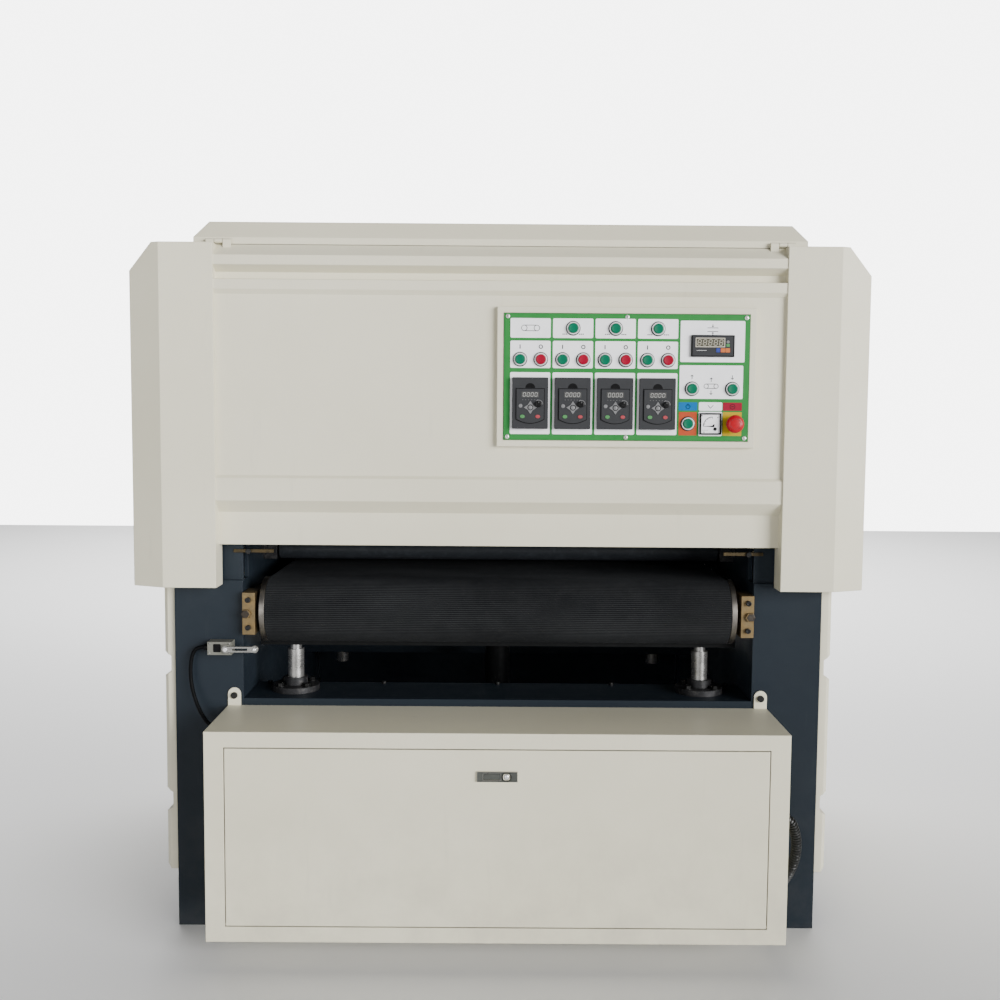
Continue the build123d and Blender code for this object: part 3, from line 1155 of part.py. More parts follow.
LIMIT_CABLE = [
    (SWITCH_END_X, SWITCH_MID_Y, SWITCH_Z),
    (SWITCH_END_X - 16, SWITCH_MID_Y, SWITCH_Z),
    (SWITCH_END_X - 29, SWITCH_MID_Y - 1, SWITCH_Z - 15),
    (SWITCH_END_X - 34, SWITCH_MID_Y - 2, SWITCH_Z - 48),
    (SWITCH_END_X - 31, SWITCH_MID_Y - 5, SWITCH_Z - 88),
    (SWITCH_END_X - 20, SWITCH_MID_Y - 11, SWITCH_Z - 124),
    (SWITCH_END_X - 3, SWITCH_MID_Y - 19, SWITCH_Z - 156),
    (SWITCH_END_X + 20, SWITCH_MID_Y - 30, SWITCH_Z - 180),
    (-CABINET_HALF, SWITCH_MID_Y - 30, SWITCH_Z - 180),
]
CONDUIT = [
    (CABINET_HALF, CONDUIT_Y, CONDUIT_START_Z),
    (CABINET_HALF + 34, CONDUIT_Y, CONDUIT_START_Z),
    (CABINET_HALF + 53, CONDUIT_Y + 4, CONDUIT_START_Z - 44),
    (CABINET_HALF + 56, CONDUIT_Y + 14, CONDUIT_START_Z - 94),
    (CABINET_HALF + 48, CONDUIT_Y + 32, CONDUIT_START_Z - 142),
    (CABINET_HALF + 35, CONDUIT_Y + 60, CONDUIT_END_Z),
    (CABINET_HALF + 35, 0.0, CONDUIT_END_Z),
]


# ---- build -----------------------------------------------------------------------------------
def main():
    os.makedirs("parts", exist_ok=True)
    save("side_frames", group(right_side_frame(), opposite(side_frame()) - reducer_window()))
    save("cross_beams", cross_beams())
    save("column_flanges", column_flanges())
    save("fasteners", fasteners())
    save("lift_jack", lift_jack())
    save("lift_screw", lift_screw())
    save("lift_columns", lift_columns())
    save("conveyor_bed", conveyor_bed())
    save("conveyor_side_bars", conveyor_side_bars())
    save("conveyor_belt", conveyor_belt())
    save("front_roller", conveyor_roller(FRONT_ROLLER_Y, False))
    save("drive_roller", conveyor_roller(DRIVE_ROLLER_Y, True))
    save("conveyor_gearmotor", conveyor_gearmotor())
    for i, y in enumerate(DRUM_Y, 1):
        save(f"sanding_drum_{i}", sanding_drum(y))
        save(f"motor_pulley_{i}", motor_pulley(y))
    save("bearing_housings", bearing_housings())
    save("pressure_roller_front", pressure_roller(PRESS_Y[0]))
    save("pressure_roller_rear", pressure_roller(PRESS_Y[1]))
    save("drum_motors", drum_motors())
    save("drive_belts", drive_belts())
    save("front_cover", front_cover())
    save("rear_cover", rear_cover())
    save("side_covers", side_covers())
    save("top_lid", top_lid())
    save("side_door_right", side_door())
    save("side_door_left", opposite(side_door()))
    save("electrical_cabinet", electrical_cabinet())
    save("electrical_gear", electrical_gear())
    save("cabinet_door", cabinet_door())
    save("lock_handle", lock_handle())
    save("lock_button", lock_button())
    save("panel_box", panel_box())
    save("panel_plate", panel_plate())
    save("button_bezels", button_bezels())
    save("pilot_lamps", pilot_lamps())
    save("drive_keypads", drive_keypads())
    save("panel_instruments", panel_instruments())
    save("emergency_stop", emergency_stop())
    save("up_button", push_button(UP_X, LIFT_ROW_Z))
    save("down_button", push_button(DOWN_X, LIFT_ROW_Z))
    for i in range(4):
        save(f"start_button_{i + 1}", push_button(*start_places()[i]))
        save(f"stop_button_{i + 1}", push_button(*stop_places()[i]))
        save(f"speed_knob_{i + 1}", speed_knob(FIELD_X[i]))
    save("limit_switch", limit_switch())
    save("limit_lever", limit_lever())
    save("limit_cable", cable(LIMIT_CABLE, CABLE_R))
    save("conduit", cable(CONDUIT, CONDUIT_R))


main()
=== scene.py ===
import math
import bmesh
import bpy
import numpy as np
from mathutils import Matrix, Vector


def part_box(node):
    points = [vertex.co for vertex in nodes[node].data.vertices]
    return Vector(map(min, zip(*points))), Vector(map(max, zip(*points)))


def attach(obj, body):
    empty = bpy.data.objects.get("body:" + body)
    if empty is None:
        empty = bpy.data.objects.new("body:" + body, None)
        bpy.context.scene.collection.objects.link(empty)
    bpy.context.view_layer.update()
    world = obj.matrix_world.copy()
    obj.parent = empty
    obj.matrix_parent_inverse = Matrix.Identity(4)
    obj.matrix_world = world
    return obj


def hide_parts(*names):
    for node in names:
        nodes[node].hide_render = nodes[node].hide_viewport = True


# Finishes and fine detail of a wide drum sander, in metres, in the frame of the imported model:
# the floor is z = 0, the infeed side faces -y, and x runs to the right as seen from there.

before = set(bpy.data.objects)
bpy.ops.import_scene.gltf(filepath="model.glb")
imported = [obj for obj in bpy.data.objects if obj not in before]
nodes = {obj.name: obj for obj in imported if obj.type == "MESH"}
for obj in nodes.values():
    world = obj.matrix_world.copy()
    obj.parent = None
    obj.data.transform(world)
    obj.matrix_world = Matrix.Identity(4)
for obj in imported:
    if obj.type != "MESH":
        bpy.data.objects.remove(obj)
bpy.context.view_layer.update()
MM = 0.001


# ---- where the model's own parts are ----
def middle(node):
    """The middle of a CAD node's box."""
    low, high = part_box(node)
    return (low + high) / 2


plate_low, plate_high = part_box("panel_plate")
PLATE_FACE = plate_low.y
PLATE_MID = (plate_low + plate_high) / 2
FIELD_X = [(middle(f"start_button_{i}").x + middle(f"stop_button_{i}").x) / 2 for i in range(1, 5)]
PAIR_Z = middle("start_button_1").z
LIFT_Z = middle("up_button").z
KEYPAD_LOW, KEYPAD_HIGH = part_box("drive_keypads")
KEYPAD_Z = (KEYPAD_LOW.z + KEYPAD_HIGH.z) / 2
COLLAR_R = 14.5 * MM
LAMP_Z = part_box("pilot_lamps")[1].z - COLLAR_R
STOP = middle("emergency_stop")
POWER_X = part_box("pilot_lamps")[1].x - COLLAR_R
METER_X = PLATE_MID.x + 188.2 * MM      # the voltmeter's middle, from the plate's
READOUT_X = middle("panel_instruments").x
READOUT_SIZE = (96, 48)                 # millimetres
READOUT_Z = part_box("panel_instruments")[1].z - READOUT_SIZE[1] / 2 * MM
cabinet_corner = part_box("electrical_cabinet")[1]
CABINET_SIDE = cabinet_corner.x
FRONT_OF_LEGS = cabinet_corner.y


# ---- surfaces: every shape is (points, faces) ----
def quads(rows, columns, close_rows=False, close_columns=False):
    """Faces of a grid of points numbered row by row, joined round where asked."""
    r = np.arange(rows if close_rows else rows - 1)
    c = np.arange(columns if close_columns else columns - 1)
    r, c = np.meshgrid(r, c, indexing="ij")
    up, right = (r + 1) % rows, (c + 1) % columns
    corners = [r * columns + c, r * columns + right, up * columns + right, up * columns + c]
    return np.stack(corners, -1).reshape(-1, 4)


# The two directions across each axis, then the axis.
AXES = {"x": ((0, 1, 0), (0, 0, 1), (1, 0, 0)), "y": ((1, 0, 0), (0, 0, 1), (0, 1, 0))}


def turned(profile, centre, axis="y", count=64):
    """A profile of (radius, along) turned about an axis:
    point = centre + radius * (cos a * first + sin a * second) + along * axis."""
    first, second, third = (np.array(v, float) for v in AXES[axis])
    radius, along = np.array(profile, float).T
    angle = np.linspace(0, 2 * math.pi, count, endpoint=False)
    circle = np.cos(angle)[:, None] * first + np.sin(angle)[:, None] * second
    points = np.array(centre) + radius[:, None, None] * circle + along[:, None, None] * third
    return points.reshape(-1, 3), quads(len(profile), count, close_columns=True).tolist()


def prism(outline, y):
    """An outline of (x, z) points pushed from y[0] to y[1], with flat ends."""
    first, second, third = (np.array(v, float) for v in AXES["y"])
    flat = np.array(outline, float)
    ring = flat[:, :1] * first + flat[:, 1:] * second
    count = len(flat)
    points = np.concatenate([ring + y[0] * third, ring + y[1] * third])
    walls = quads(2, count, close_columns=True).tolist()
    return points, walls + [list(range(count)), list(range(count, 2 * count))]


def rounded(cx, cz, width, height, radius, steps=6):
    """Corner points of a rectangle whose corners are quarter circles."""
    turn = np.linspace(0, math.pi / 2, steps)
    out = []
    for quarter, (sx, sz) in enumerate(((1, 1), (-1, 1), (-1, -1), (1, -1))):
        a = turn + quarter * math.pi / 2
        x = cx + sx * (width / 2 - radius) + radius * np.cos(a)
        z = cz + sz * (height / 2 - radius) + radius * np.sin(a)
        out.append(np.stack([x, z], 1))
    return np.concatenate(out)


def circle(cx, cz, radius, count=32, squash=1.0):
    """Points round a circle, or round an oval that is squashed in height."""
    a = np.linspace(0, 2 * math.pi, count, endpoint=False)
    return np.stack([cx + radius * np.cos(a), cz + radius * squash * np.sin(a)], 1)


def polar(cx, cz, radius, degrees):
    """A point at some millimetres and some angle from a middle."""
    a = math.radians(degrees)
    return cx + radius * MM * math.cos(a), cz + radius * MM * math.sin(a)


def band(cx, cz, radius, width, start, end, count=24):
    """A stretch of a flat ring between two angles in degrees."""
    a = np.radians(np.linspace(start, end, count))
    reach = np.array([radius + width / 2, radius - width / 2])[:, None]
    outer, inner = np.stack([cx + reach * np.cos(a), cz + reach * np.sin(a)], 2)
    return np.concatenate([outer, inner[::-1]])


def stroke(start, end, width):
    """A straight flat line of some width between two points."""
    a, b = np.array(start, float), np.array(end, float)
    across = np.array([-(b - a)[1], (b - a)[0]])
    across *= width / 2 / np.linalg.norm(across)
    return np.array([a + across, a - across, b - across, b + across])


def layer(face, front, back):
    """Where a flat shape starts and ends along y, in millimetres from a face."""
    return face + front * MM, face + back * MM


def tile(cx, cz, width, height, radius, depth, steps=6):
    """A flat rectangle with rounded corners; width, height and radius are in millimetres."""
    return prism(rounded(cx, cz, width * MM, height * MM, radius * MM, steps), depth)


def lathe(profile, x, face, z, count=64):
    """A profile of (radius, depth from a face) in millimetres, turned about a line along y."""
    return turned([(r * MM, face + y * MM) for r, y in profile], (x, 0, z), count=count)


def hose(path, radius, count):
    """A tube whose radius may change along a path of points, with both ends closed."""
    path = np.array(path, float)
    radius = np.broadcast_to(radius, len(path))
    ahead = np.gradient(path, axis=0)
    ahead /= np.linalg.norm(ahead, axis=1)[:, None]
    side = np.cross(ahead, (0.0, 1.0, 0.3))
    side /= np.linalg.norm(side, axis=1)[:, None]
    above = np.cross(side, ahead)
    a = np.linspace(0, 2 * math.pi, count, endpoint=False)
    ring = np.cos(a)[None, :, None] * side[:, None] + np.sin(a)[None, :, None] * above[:, None]
    points = (path[:, None] + radius[:, None, None] * ring).reshape(-1, 3)
    last = len(points) - count
    ends = [list(range(count)), list(range(last, last + count))]
    return points, quads(len(path), count, close_columns=True).tolist() + ends


# ---- pieces ----
def piece(name, shapes, finish, body, smooth=35, bevel=0.0):
    """One object from several shapes, riding on a body. Faces are turned outwards."""
    points, faces, start = [], [], 0
    for shape_points, shape_faces in shapes:
        points.append(np.asarray(shape_points))
        faces += [[i + start for i in face] for face in shape_faces]
        start += len(shape_points)
    mesh = bpy.data.meshes.new(name)
    mesh.from_pydata(np.concatenate(points).tolist(), [], faces)
    shell = bmesh.new()
    shell.from_mesh(mesh)
    bmesh.ops.remove_doubles(shell, verts=shell.verts, dist=1e-6)
    bmesh.ops.dissolve_degenerate(shell, edges=shell.edges, dist=1e-7)
    bmesh.ops.recalc_face_normals(shell, faces=shell.faces)
    shell.to_mesh(mesh)
    shell.free()
    mesh.polygons.foreach_set("use_smooth", np.ones(len(mesh.polygons), bool))
    mesh.set_sharp_from_angle(angle=math.radians(smooth))
    mesh.materials.append(finish)
    made = bpy.data.objects.new(name, mesh)
    bpy.context.scene.collection.objects.link(made)
    if bevel:
        edge = made.modifiers.new("edge", "BEVEL")
        edge.width = bevel
        edge.segments = 2
        edge.limit_method = "ANGLE"
        edge.angle_limit = math.radians(40)
    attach(made, body)
    return made


# ---- finishes ----
class Finish:
    """A node material being put together on the object's own coordinates."""

    def __init__(self, name, colour=None, rough=None, metal=None, **sockets):
        self.material = bpy.data.materials.new(name)
        self.material.use_nodes = True
        self.tree = self.material.node_tree
        self.surface = self.tree.nodes["Principled BSDF"]
        self.place = self.node("TexCoord").outputs["Object"]
        fixed = {"Base Color": colour and (*colour, 1), "Roughness": rough, "Metallic": metal}
        fixed.update({key.replace("_", " "): value for key, value in sockets.items()})
        for key, value in fixed.items():
            if value is not None:
                self.surface.inputs[key].default_value = value

    def node(self, kind, inputs=None, **settings):
        made = self.tree.nodes.new("ShaderNode" + kind)
        for key, value in settings.items():
            setattr(made, key, value)
        for key, value in (inputs or {}).items():
            self.feed(made.inputs[key], value)
        return made

    def feed(self, socket, value):
        if isinstance(value, bpy.types.NodeSocket):
            self.tree.links.new(value, socket)
        else:
            socket.default_value = value

    def noise(self, scale, detail=3.0, rough=0.5, stretch=(1, 1, 1)):
        """Soft random value, stretched along the axes."""
        at = self.node("Mapping", {"Vector": self.place, "Scale": stretch}).outputs[0]
        inputs = {"Vector": at, "Scale": scale, "Detail": detail, "Roughness": rough}
        return self.node("TexNoise", inputs).outputs[0]

    def cells(self, scale):
        """Distance to the nearest of many scattered points."""
        return self.node("TexVoronoi", {"Vector": self.place, "Scale": scale}).outputs["Distance"]

    def ramp(self, value, low, high, out_low=0.0, out_high=1.0):
        """value taken from low..high to out_low..out_high, and held there."""
        inputs = {"Value": value, "From Min": low, "From Max": high, "To Min": out_low, "To Max": out_high}
        return self.node("MapRange", inputs, clamp=True).outputs[0]

    def blend(self, factor, first, second):
        """Colour between two, by a factor."""
        made = self.node("Mix", data_type="RGBA")
        self.feed(made.inputs[0], factor)
        for socket, value in ((made.inputs[6], first), (made.inputs[7], second)):
            self.feed(socket, value if isinstance(value, bpy.types.NodeSocket) else (*value, 1))
        return made.outputs[2]

    def stain(self, tone, mask, share, colour):
        """A tone with some share of another colour where the mask is bright."""
        return self.blend(self.math("MULTIPLY", mask, share), tone, colour)

    def math(self, operation, first, second):
        made = self.node("Math", operation=operation)
        self.feed(made.inputs[0], first)
        self.feed(made.inputs[1], second)
        return made.outputs[0]

    def height(self):
        """The object's height above the floor."""
        return self.node("SeparateXYZ", {"Vector": self.place}).outputs["Z"]

    def bump(self, value, strength, distance, before=None):
        inputs = {"Height": value, "Strength": strength, "Distance": distance}
        if before is not None:
            inputs["Normal"] = before
        return self.node("Bump", inputs).outputs[0]

    def soft_edges(self, radius):
        return self.node("Bevel", {"Radius": radius}, samples=4).outputs[0]

    def done(self, colour=None, rough=None, normal=None):
        for key, value in (("Base Color", colour), ("Roughness", rough), ("Normal", normal)):
            if value is not None:
                self.feed(self.surface.inputs[key], value)
        return self.material


def sheet_paint(name, colour, shade, grime, rough, peel, edge, shine=0.3):
    """Sprayed enamel on sheet: orange peel, uneven gloss, faint blotches and dust low down."""
    f = Finish(name, Specular_IOR_Level=shine)
    blotch = f.ramp(f.noise(2.2, 5, 0.6), 0.35, 0.68)
    tone = f.blend(blotch, colour, shade)
    specks = f.ramp(f.noise(420, 2, 0.7), 0.70, 0.76)
    tone = f.stain(tone, specks, 0.25, grime)
    low = f.ramp(f.height(), 0.0, 0.45, 1.0, 0.0)
    dust = f.math("MULTIPLY", low, f.ramp(f.noise(7, 6, 0.65), 0.42, 0.72))
    tone = f.stain(tone, dust, 0.5, grime)
    streak = f.ramp(f.noise(30, 4, 0.6, (1, 1, 0.12)), 0.62, 0.78)
    tone = f.stain(tone, streak, 0.16, grime)
    gloss = f.ramp(f.noise(9, 4, 0.6), 0.3, 0.7, rough - 0.06, rough + 0.08)
    normal = f.soft_edges(edge)
    normal = f.bump(f.noise(520, 2, 0.5), peel, 0.0004, normal)
    normal = f.bump(f.noise(3.5, 2, 0.5), 0.25, 0.004, normal)
    return f.done(tone, gloss, normal)


def plated(name, colour, tint, rough=0.32):
    """Zinc plate: cloudy colour, fine scratches and a grain along x."""
    f = Finish(name, metal=0.85)
    cloud = f.ramp(f.noise(60, 5, 0.65), 0.3, 0.7)
    tone = f.blend(cloud, colour, tint)
    dark = f.ramp(f.noise(240, 4, 0.7), 0.62, 0.75)
    tone = f.stain(tone, dark, 0.5, tuple(c * 0.35 for c in colour))
    gloss = f.ramp(f.noise(120, 3, 0.6), 0.3, 0.7, rough - 0.08, rough + 0.14)
    normal = f.bump(f.noise(900, 2, 0.5, (0.15, 1, 1)), 0.25, 0.0002, f.soft_edges(0.0008))
    return f.done(tone, gloss, normal)


def turned_steel(name, colour, rough, stretch, marks=0.2, metal=1.0):
    """Machined steel: tool lines across one axis and a few dull patches."""
    f = Finish(name, metal=metal)
    dull = f.ramp(f.noise(25, 5, 0.65), 0.4, 0.75)
    tone = f.blend(dull, colour, tuple(c * 0.55 for c in colour))
    gloss = f.ramp(f.noise(60, 4, 0.6, stretch), 0.3, 0.7, rough - 0.06, rough + 0.16)
    normal = f.bump(f.noise(700, 2, 0.5, stretch), marks, 0.00015, f.soft_edges(0.0008))
    return f.done(tone, gloss, normal)


def casting(name, colour, rough=0.5, wear=1.0):
    """Oiled dark casting: grain of the sand, dust in the hollows, worn bright spots."""
    f = Finish(name, metal=0.4)
    dust = f.ramp(f.noise(45, 5, 0.7), 0.52, 0.75)
    tone = f.stain(colour, dust, 0.5 * wear, (0.16, 0.15, 0.14))
    worn = f.ramp(f.noise(130, 3, 0.6), 0.68, 0.74)
    tone = f.stain(tone, worn, 0.5 * wear, (0.3, 0.3, 0.3))
    gloss = f.ramp(f.noise(70, 3, 0.6), 0.3, 0.7, rough - 0.12, rough + 0.15)
    return f.done(tone, gloss, f.bump(f.noise(380, 4, 0.6), 0.5, 0.0005, f.soft_edges(0.0015)))


def belt_rubber(name):
    """Black ribbed rubber: dust between the ribs, a painted highlight in patchy bands on the rib crests, and
    scuffs along y.
    """
    f = Finish(name, Specular_IOR_Level=0.12)
    dust = f.ramp(f.noise(14, 6, 0.7), 0.42, 0.75)
    tone = f.blend(f.math("MULTIPLY", dust, 0.6), (0.0042, 0.0047, 0.0056), (0.013, 0.0135, 0.0145))
    # Painted highlight: the rib crests turn a lighter grey in patchy bands, where light would catch the ribs.
    crest = f.node("Attribute", attribute_name="crest").outputs["Fac"]
    patchy = f.ramp(f.noise(9, 4, 0.6, (0.35, 1, 1)), 0.3, 0.65, 0.35, 1.0)
    crest_highlight = f.math("MULTIPLY", f.ramp(crest, 0.55, 1.0), patchy)
    tone = f.blend(crest_highlight, tone, (0.034, 0.036, 0.038))
    scuff = f.ramp(f.noise(55, 4, 0.7, (1, 0.12, 1)), 0.6, 0.8)
    tone = f.stain(tone, scuff, 0.5, (0.022, 0.022, 0.023))
    gloss = f.ramp(f.noise(22, 4, 0.6, (1, 0.3, 1)), 0.3, 0.7, 0.42, 0.66)
    return f.done(tone, gloss, f.bump(f.noise(800, 3, 0.6), 0.35, 0.0003))


def rubber(name, colour, rough=0.5, shine=0.2):
    """Plain rubber or hose plastic: cloudy bloom and a fine matt grain."""
    f = Finish(name, Specular_IOR_Level=shine)
    tone = f.blend(f.ramp(f.noise(40, 5, 0.7), 0.5, 0.8), colour, tuple(c * 1.8 for c in colour))
    gloss = f.ramp(f.noise(120, 3, 0.6), 0.3, 0.7, rough - 0.1, rough + 0.12)
    return f.done(tone, gloss, f.bump(f.noise(900, 3, 0.6), 0.3, 0.0002))


def moulded(name, colour, rough=0.35, grain=0.2, clear=0.0, shine=0.4):
    """Moulded plastic: a fine spark texture, slight flow marks and handled patches."""
    f = Finish(name, Coat_Weight=clear, Coat_Roughness=0.08, Specular_IOR_Level=shine)
    flow = f.ramp(f.noise(60, 4, 0.6), 0.3, 0.75)
    tone = f.stain(colour, flow, 0.35, tuple(c * 0.72 for c in colour))
    gloss = f.ramp(f.noise(150, 4, 0.6), 0.3, 0.7, rough - 0.07, rough + 0.1)
    return f.done(tone, gloss, f.bump(f.noise(2600, 2, 0.5), grain, 0.0001))


def printed(name, colour, rough=0.38):
    """Printed film on a plate: faint fibres, smudges and a slight sheen."""
    f = Finish(name, Specular_IOR_Level=0.15)
    smudge = f.ramp(f.noise(28, 6, 0.7), 0.45, 0.78)
    tone = f.stain(colour, smudge, 0.5, tuple(c * 0.84 for c in colour))
    gloss = f.ramp(f.noise(70, 4, 0.6), 0.3, 0.7, rough - 0.1, rough + 0.1)
    return f.done(tone, gloss, f.bump(f.noise(1500, 3, 0.6), 0.12, 0.0001))


def abrasive(name):
    """Abrasive cloth: sharp grit on a rust-brown backing, with a spiral join."""
    f = Finish(name, rough=0.85)
    grit = f.cells(1400)
    tone = f.blend(f.ramp(grit, 0.1, 0.6), (0.30, 0.11, 0.05), (0.12, 0.04, 0.02))
    inputs = {"Vector": f.place, "Scale": 1.3, "Distortion": 0.3}
    across = f.node("TexWave", inputs, bands_direction="DIAGONAL")
    join = f.ramp(across.outputs["Fac"], 0.0, 0.006, 1.0, 0.0)
    tone = f.blend(join, tone, (0.05, 0.03, 0.02))
    return f.done(tone, None, f.bump(grit, 0.8, 0.0006))


BEIGE = sheet_paint("beige_sheet_paint", (0.72, 0.685, 0.54), (0.68, 0.645, 0.50), (0.42, 0.40, 0.33),
                    0.40, 0.30, 0.0025)
BLUE = sheet_paint("slate_blue_enamel", (0.0155, 0.0218, 0.0295), (0.0125, 0.0178, 0.0245),
                   (0.05, 0.05, 0.05), 0.38, 0.35, 0.003, 0.14)
MOTOR = sheet_paint("motor_enamel", (0.06, 0.10, 0.15), (0.05, 0.085, 0.13), (0.15, 0.15, 0.14),
                    0.4, 0.6, 0.002)
YELLOW_ZINC = plated("yellow_zinc", (0.23, 0.155, 0.066), (0.165, 0.128, 0.072), 0.42)
DULL_BRASS = plated("dull_brass", (0.085, 0.062, 0.030), (0.045, 0.036, 0.022), 0.5)
ZINC = plated("bright_zinc", (0.30, 0.295, 0.28), (0.22, 0.22, 0.21))
ROLLER_STEEL = turned_steel("roller_steel", (0.27, 0.25, 0.225), 0.34, (1, 0.1, 0.1))
COLUMN_STEEL = turned_steel("ground_column_steel", (0.43, 0.425, 0.415), 0.24, (0.2, 0.2, 1), 0.1, 0.8)
BED_STEEL = rubber("bed_black_paint", (0.005, 0.0055, 0.006), 0.5, 0.1)
BLACK_BOLT = casting("black_oxide", (0.007, 0.007, 0.007), 0.42, 0.15)
SPINDLE_BOLT = casting("brown_bolt", (0.028, 0.020, 0.013), 0.45, 0.4)
CAST = casting("flange_casting", (0.018, 0.018, 0.020))
BELT = belt_rubber("conveyor_belt_rubber")
ROLL_RUBBER = rubber("hold_down_rubber", (0.020, 0.023, 0.027), 0.45)
CABLE = rubber("cable_jacket", (0.0028, 0.0030, 0.0035), 0.5, 0.06)
CONDUIT_PLASTIC = rubber("conduit_plastic", (0.014, 0.0145, 0.014), 0.36, 0.4)
GRIT = abrasive("drum_abrasive")
PLATE_GREEN = printed("plate_green", (0.026, 0.195, 0.044))
FIELD_WHITE = printed("field_white", (0.95, 0.95, 0.97))
FIELD_ORANGE = printed("field_orange", (0.42, 0.068, 0.024))
FIELD_YELLOW = printed("field_yellow", (0.46, 0.31, 0.012))
LABEL_BLUE = printed("label_blue", (0.0, 0.13, 0.36))
LABEL_RED = printed("label_red", (0.27, 0.008, 0.028))
INK = printed("ink_black", (0.012, 0.012, 0.014), 0.5)
INK_WHITE = printed("ink_white", (0.75, 0.75, 0.75), 0.5)
KEYPAD = moulded("keypad_grey", (0.030, 0.031, 0.034), 0.5, 0.5, shine=0.2)
KEYPAD_DARK = moulded("keypad_black", (0.003, 0.003, 0.0035), 0.45, 0.2, shine=0.12)
KEY_GREY = moulded("key_grey", (0.17, 0.17, 0.175), 0.4, 0.2)
KEY_GREEN = moulded("key_green", (0.075, 0.25, 0.085), 0.4, 0.2, shine=0.2)
KEY_RED = moulded("key_red", (0.36, 0.055, 0.065), 0.4, 0.2, shine=0.2)
KEY_BLUE = moulded("key_blue", (0.015, 0.035, 0.26), 0.4, 0.2)
KEY_ORANGE = moulded("key_orange", (0.52, 0.13, 0.025), 0.4, 0.2)
GLASS_GREY = moulded("display_window", (0.075, 0.075, 0.073), 0.2, 0.02, shine=0.3)
LCD = moulded("readout_lcd", (0.085, 0.080, 0.060), 0.2, 0.02, shine=0.3)
FIGURE = printed("readout_figure", (0.40, 0.38, 0.31))
RIM = moulded("readout_rim", (0.62, 0.58, 0.48), 0.4, 0.2)
LED = printed("led_mark", (0.13, 0.13, 0.13))
SEGMENT = printed("segment_pale", (0.36, 0.36, 0.35))
CAP_GREEN = moulded("cap_green", (0.0, 0.130, 0.066), 0.34, 0.15, clear=0.08, shine=0.2)
CAP_RED = moulded("cap_red", (0.29, 0.001, 0.022), 0.34, 0.15, clear=0.08, shine=0.2)
STOP_RED = moulded("stop_red", (0.40, 0.002, 0.010), 0.34, 0.1, clear=0.1, shine=0.25)
# A darker red for the raised arrows on the mushroom head: painted shade of their relief.
STOP_ARROW_SHADE = moulded("stop_arrow_shade_red", (0.28, 0.002, 0.006), 0.4, 0.1)
COLLAR_CHROME = turned_steel("collar_satin", (0.98, 0.98, 0.98), 0.3, (1, 1, 1), 0.05, 0.1)
COLLAR_SHADE = moulded("collar_black", (0.012, 0.012, 0.013), 0.35, 0.2)
KNOB_BLACK = moulded("knob_black", (0.003, 0.003, 0.0035), 0.3, 0.2, shine=0.3)
SWITCH_PAINT = sheet_paint("switch_die_cast", (0.17, 0.17, 0.145), (0.14, 0.14, 0.12), (0.07, 0.07, 0.06),
                           0.4, 0.8, 0.001)
SCREW_BRIGHT = turned_steel("screw_bright", (0.88, 0.88, 0.87), 0.25, (1, 1, 1), 0.05, 0.6)
LOCK_STEEL = casting("lock_die_cast", (0.075, 0.08, 0.072), 0.4, 0.3)
GEAR_GREY = moulded("drive_case_grey", (0.25, 0.26, 0.27), 0.45, 0.4)

FINISH_OF_NODE = {
    BLUE: ["side_frames", "cross_beams"],
    BEIGE: ["front_cover", "rear_cover", "side_covers", "top_lid", "side_door_left", "side_door_right",
            "electrical_cabinet", "cabinet_door", "panel_box"],
    CAST: ["column_flanges", "bearing_housings", "motor_pulley_1", "motor_pulley_2", "motor_pulley_3"],
    BLACK_BOLT: ["fasteners"],
    LOCK_STEEL: ["lock_handle"],
    ZINC: ["limit_lever", "lock_button"],
    YELLOW_ZINC: ["conveyor_side_bars"],
    MOTOR: ["lift_jack", "conveyor_gearmotor", "drum_motors"],
    ROLLER_STEEL: ["front_roller", "drive_roller", "lift_screw"],
    COLUMN_STEEL: ["lift_columns"],
    BED_STEEL: ["conveyor_bed"],
    BELT: ["conveyor_belt"],
    ROLL_RUBBER: ["pressure_roller_front", "pressure_roller_rear", "drive_belts"],
    GRIT: ["sanding_drum_1", "sanding_drum_2", "sanding_drum_3"],
    GEAR_GREY: ["electrical_gear"],
    PLATE_GREEN: ["panel_plate"],
    SWITCH_PAINT: ["limit_switch"],
    KEYPAD: ["drive_keypads"],
    KEYPAD_DARK: ["panel_instruments"],
    COLLAR_CHROME: ["button_bezels"],
    CAP_GREEN: ["pilot_lamps", "up_button", "down_button"] + [f"start_button_{i}" for i in range(1, 5)],
    CAP_RED: [f"stop_button_{i}" for i in range(1, 5)],
    STOP_RED: ["emergency_stop"],
    KNOB_BLACK: [f"speed_knob_{i}" for i in range(1, 5)],
    CABLE: ["limit_cable", "conduit"],
}
for finish, names in FINISH_OF_NODE.items():
    for name in names:
        slots = nodes[name].data.materials
        slots.clear()
        slots.append(finish)


# ---- conveyor belt ----
def loop_round(front, rear, radius, count):
    """Points (y, z) and outward normals at equal steps round two rollers of one radius."""
    run = rear[0] - front[0]
    half_circle = math.pi * radius
    total = 2 * run + 2 * half_circle
    s = np.arange(count) * total / count
    y, z, ny, nz = (np.empty(count) for _ in range(4))
    top = s < run
    y[top], z[top], ny[top], nz[top] = front[0] + s[top], front[1] + radius, 0, 1
    back = (s >= run) & (s < run + half_circle)
    a = (s[back] - run) / radius
    ny[back], nz[back] = np.sin(a), np.cos(a)
    under = (s >= run + half_circle) & (s < 2 * run + half_circle)
    t = s[under] - run - half_circle
    y[under], z[under], ny[under], nz[under] = rear[0] - t, front[1] - radius, 0, -1
    fore = s >= 2 * run + half_circle
    a = (s[fore] - 2 * run - half_circle) / radius
    ny[fore], nz[fore] = -np.sin(a), -np.cos(a)
    y[back], z[back] = rear[0] + radius * ny[back], rear[1] + radius * nz[back]
    y[fore], z[fore] = front[0] + radius * ny[fore], front[1] + radius * nz[fore]
    return np.stack([y, z], 1), np.stack([ny, nz], 1)


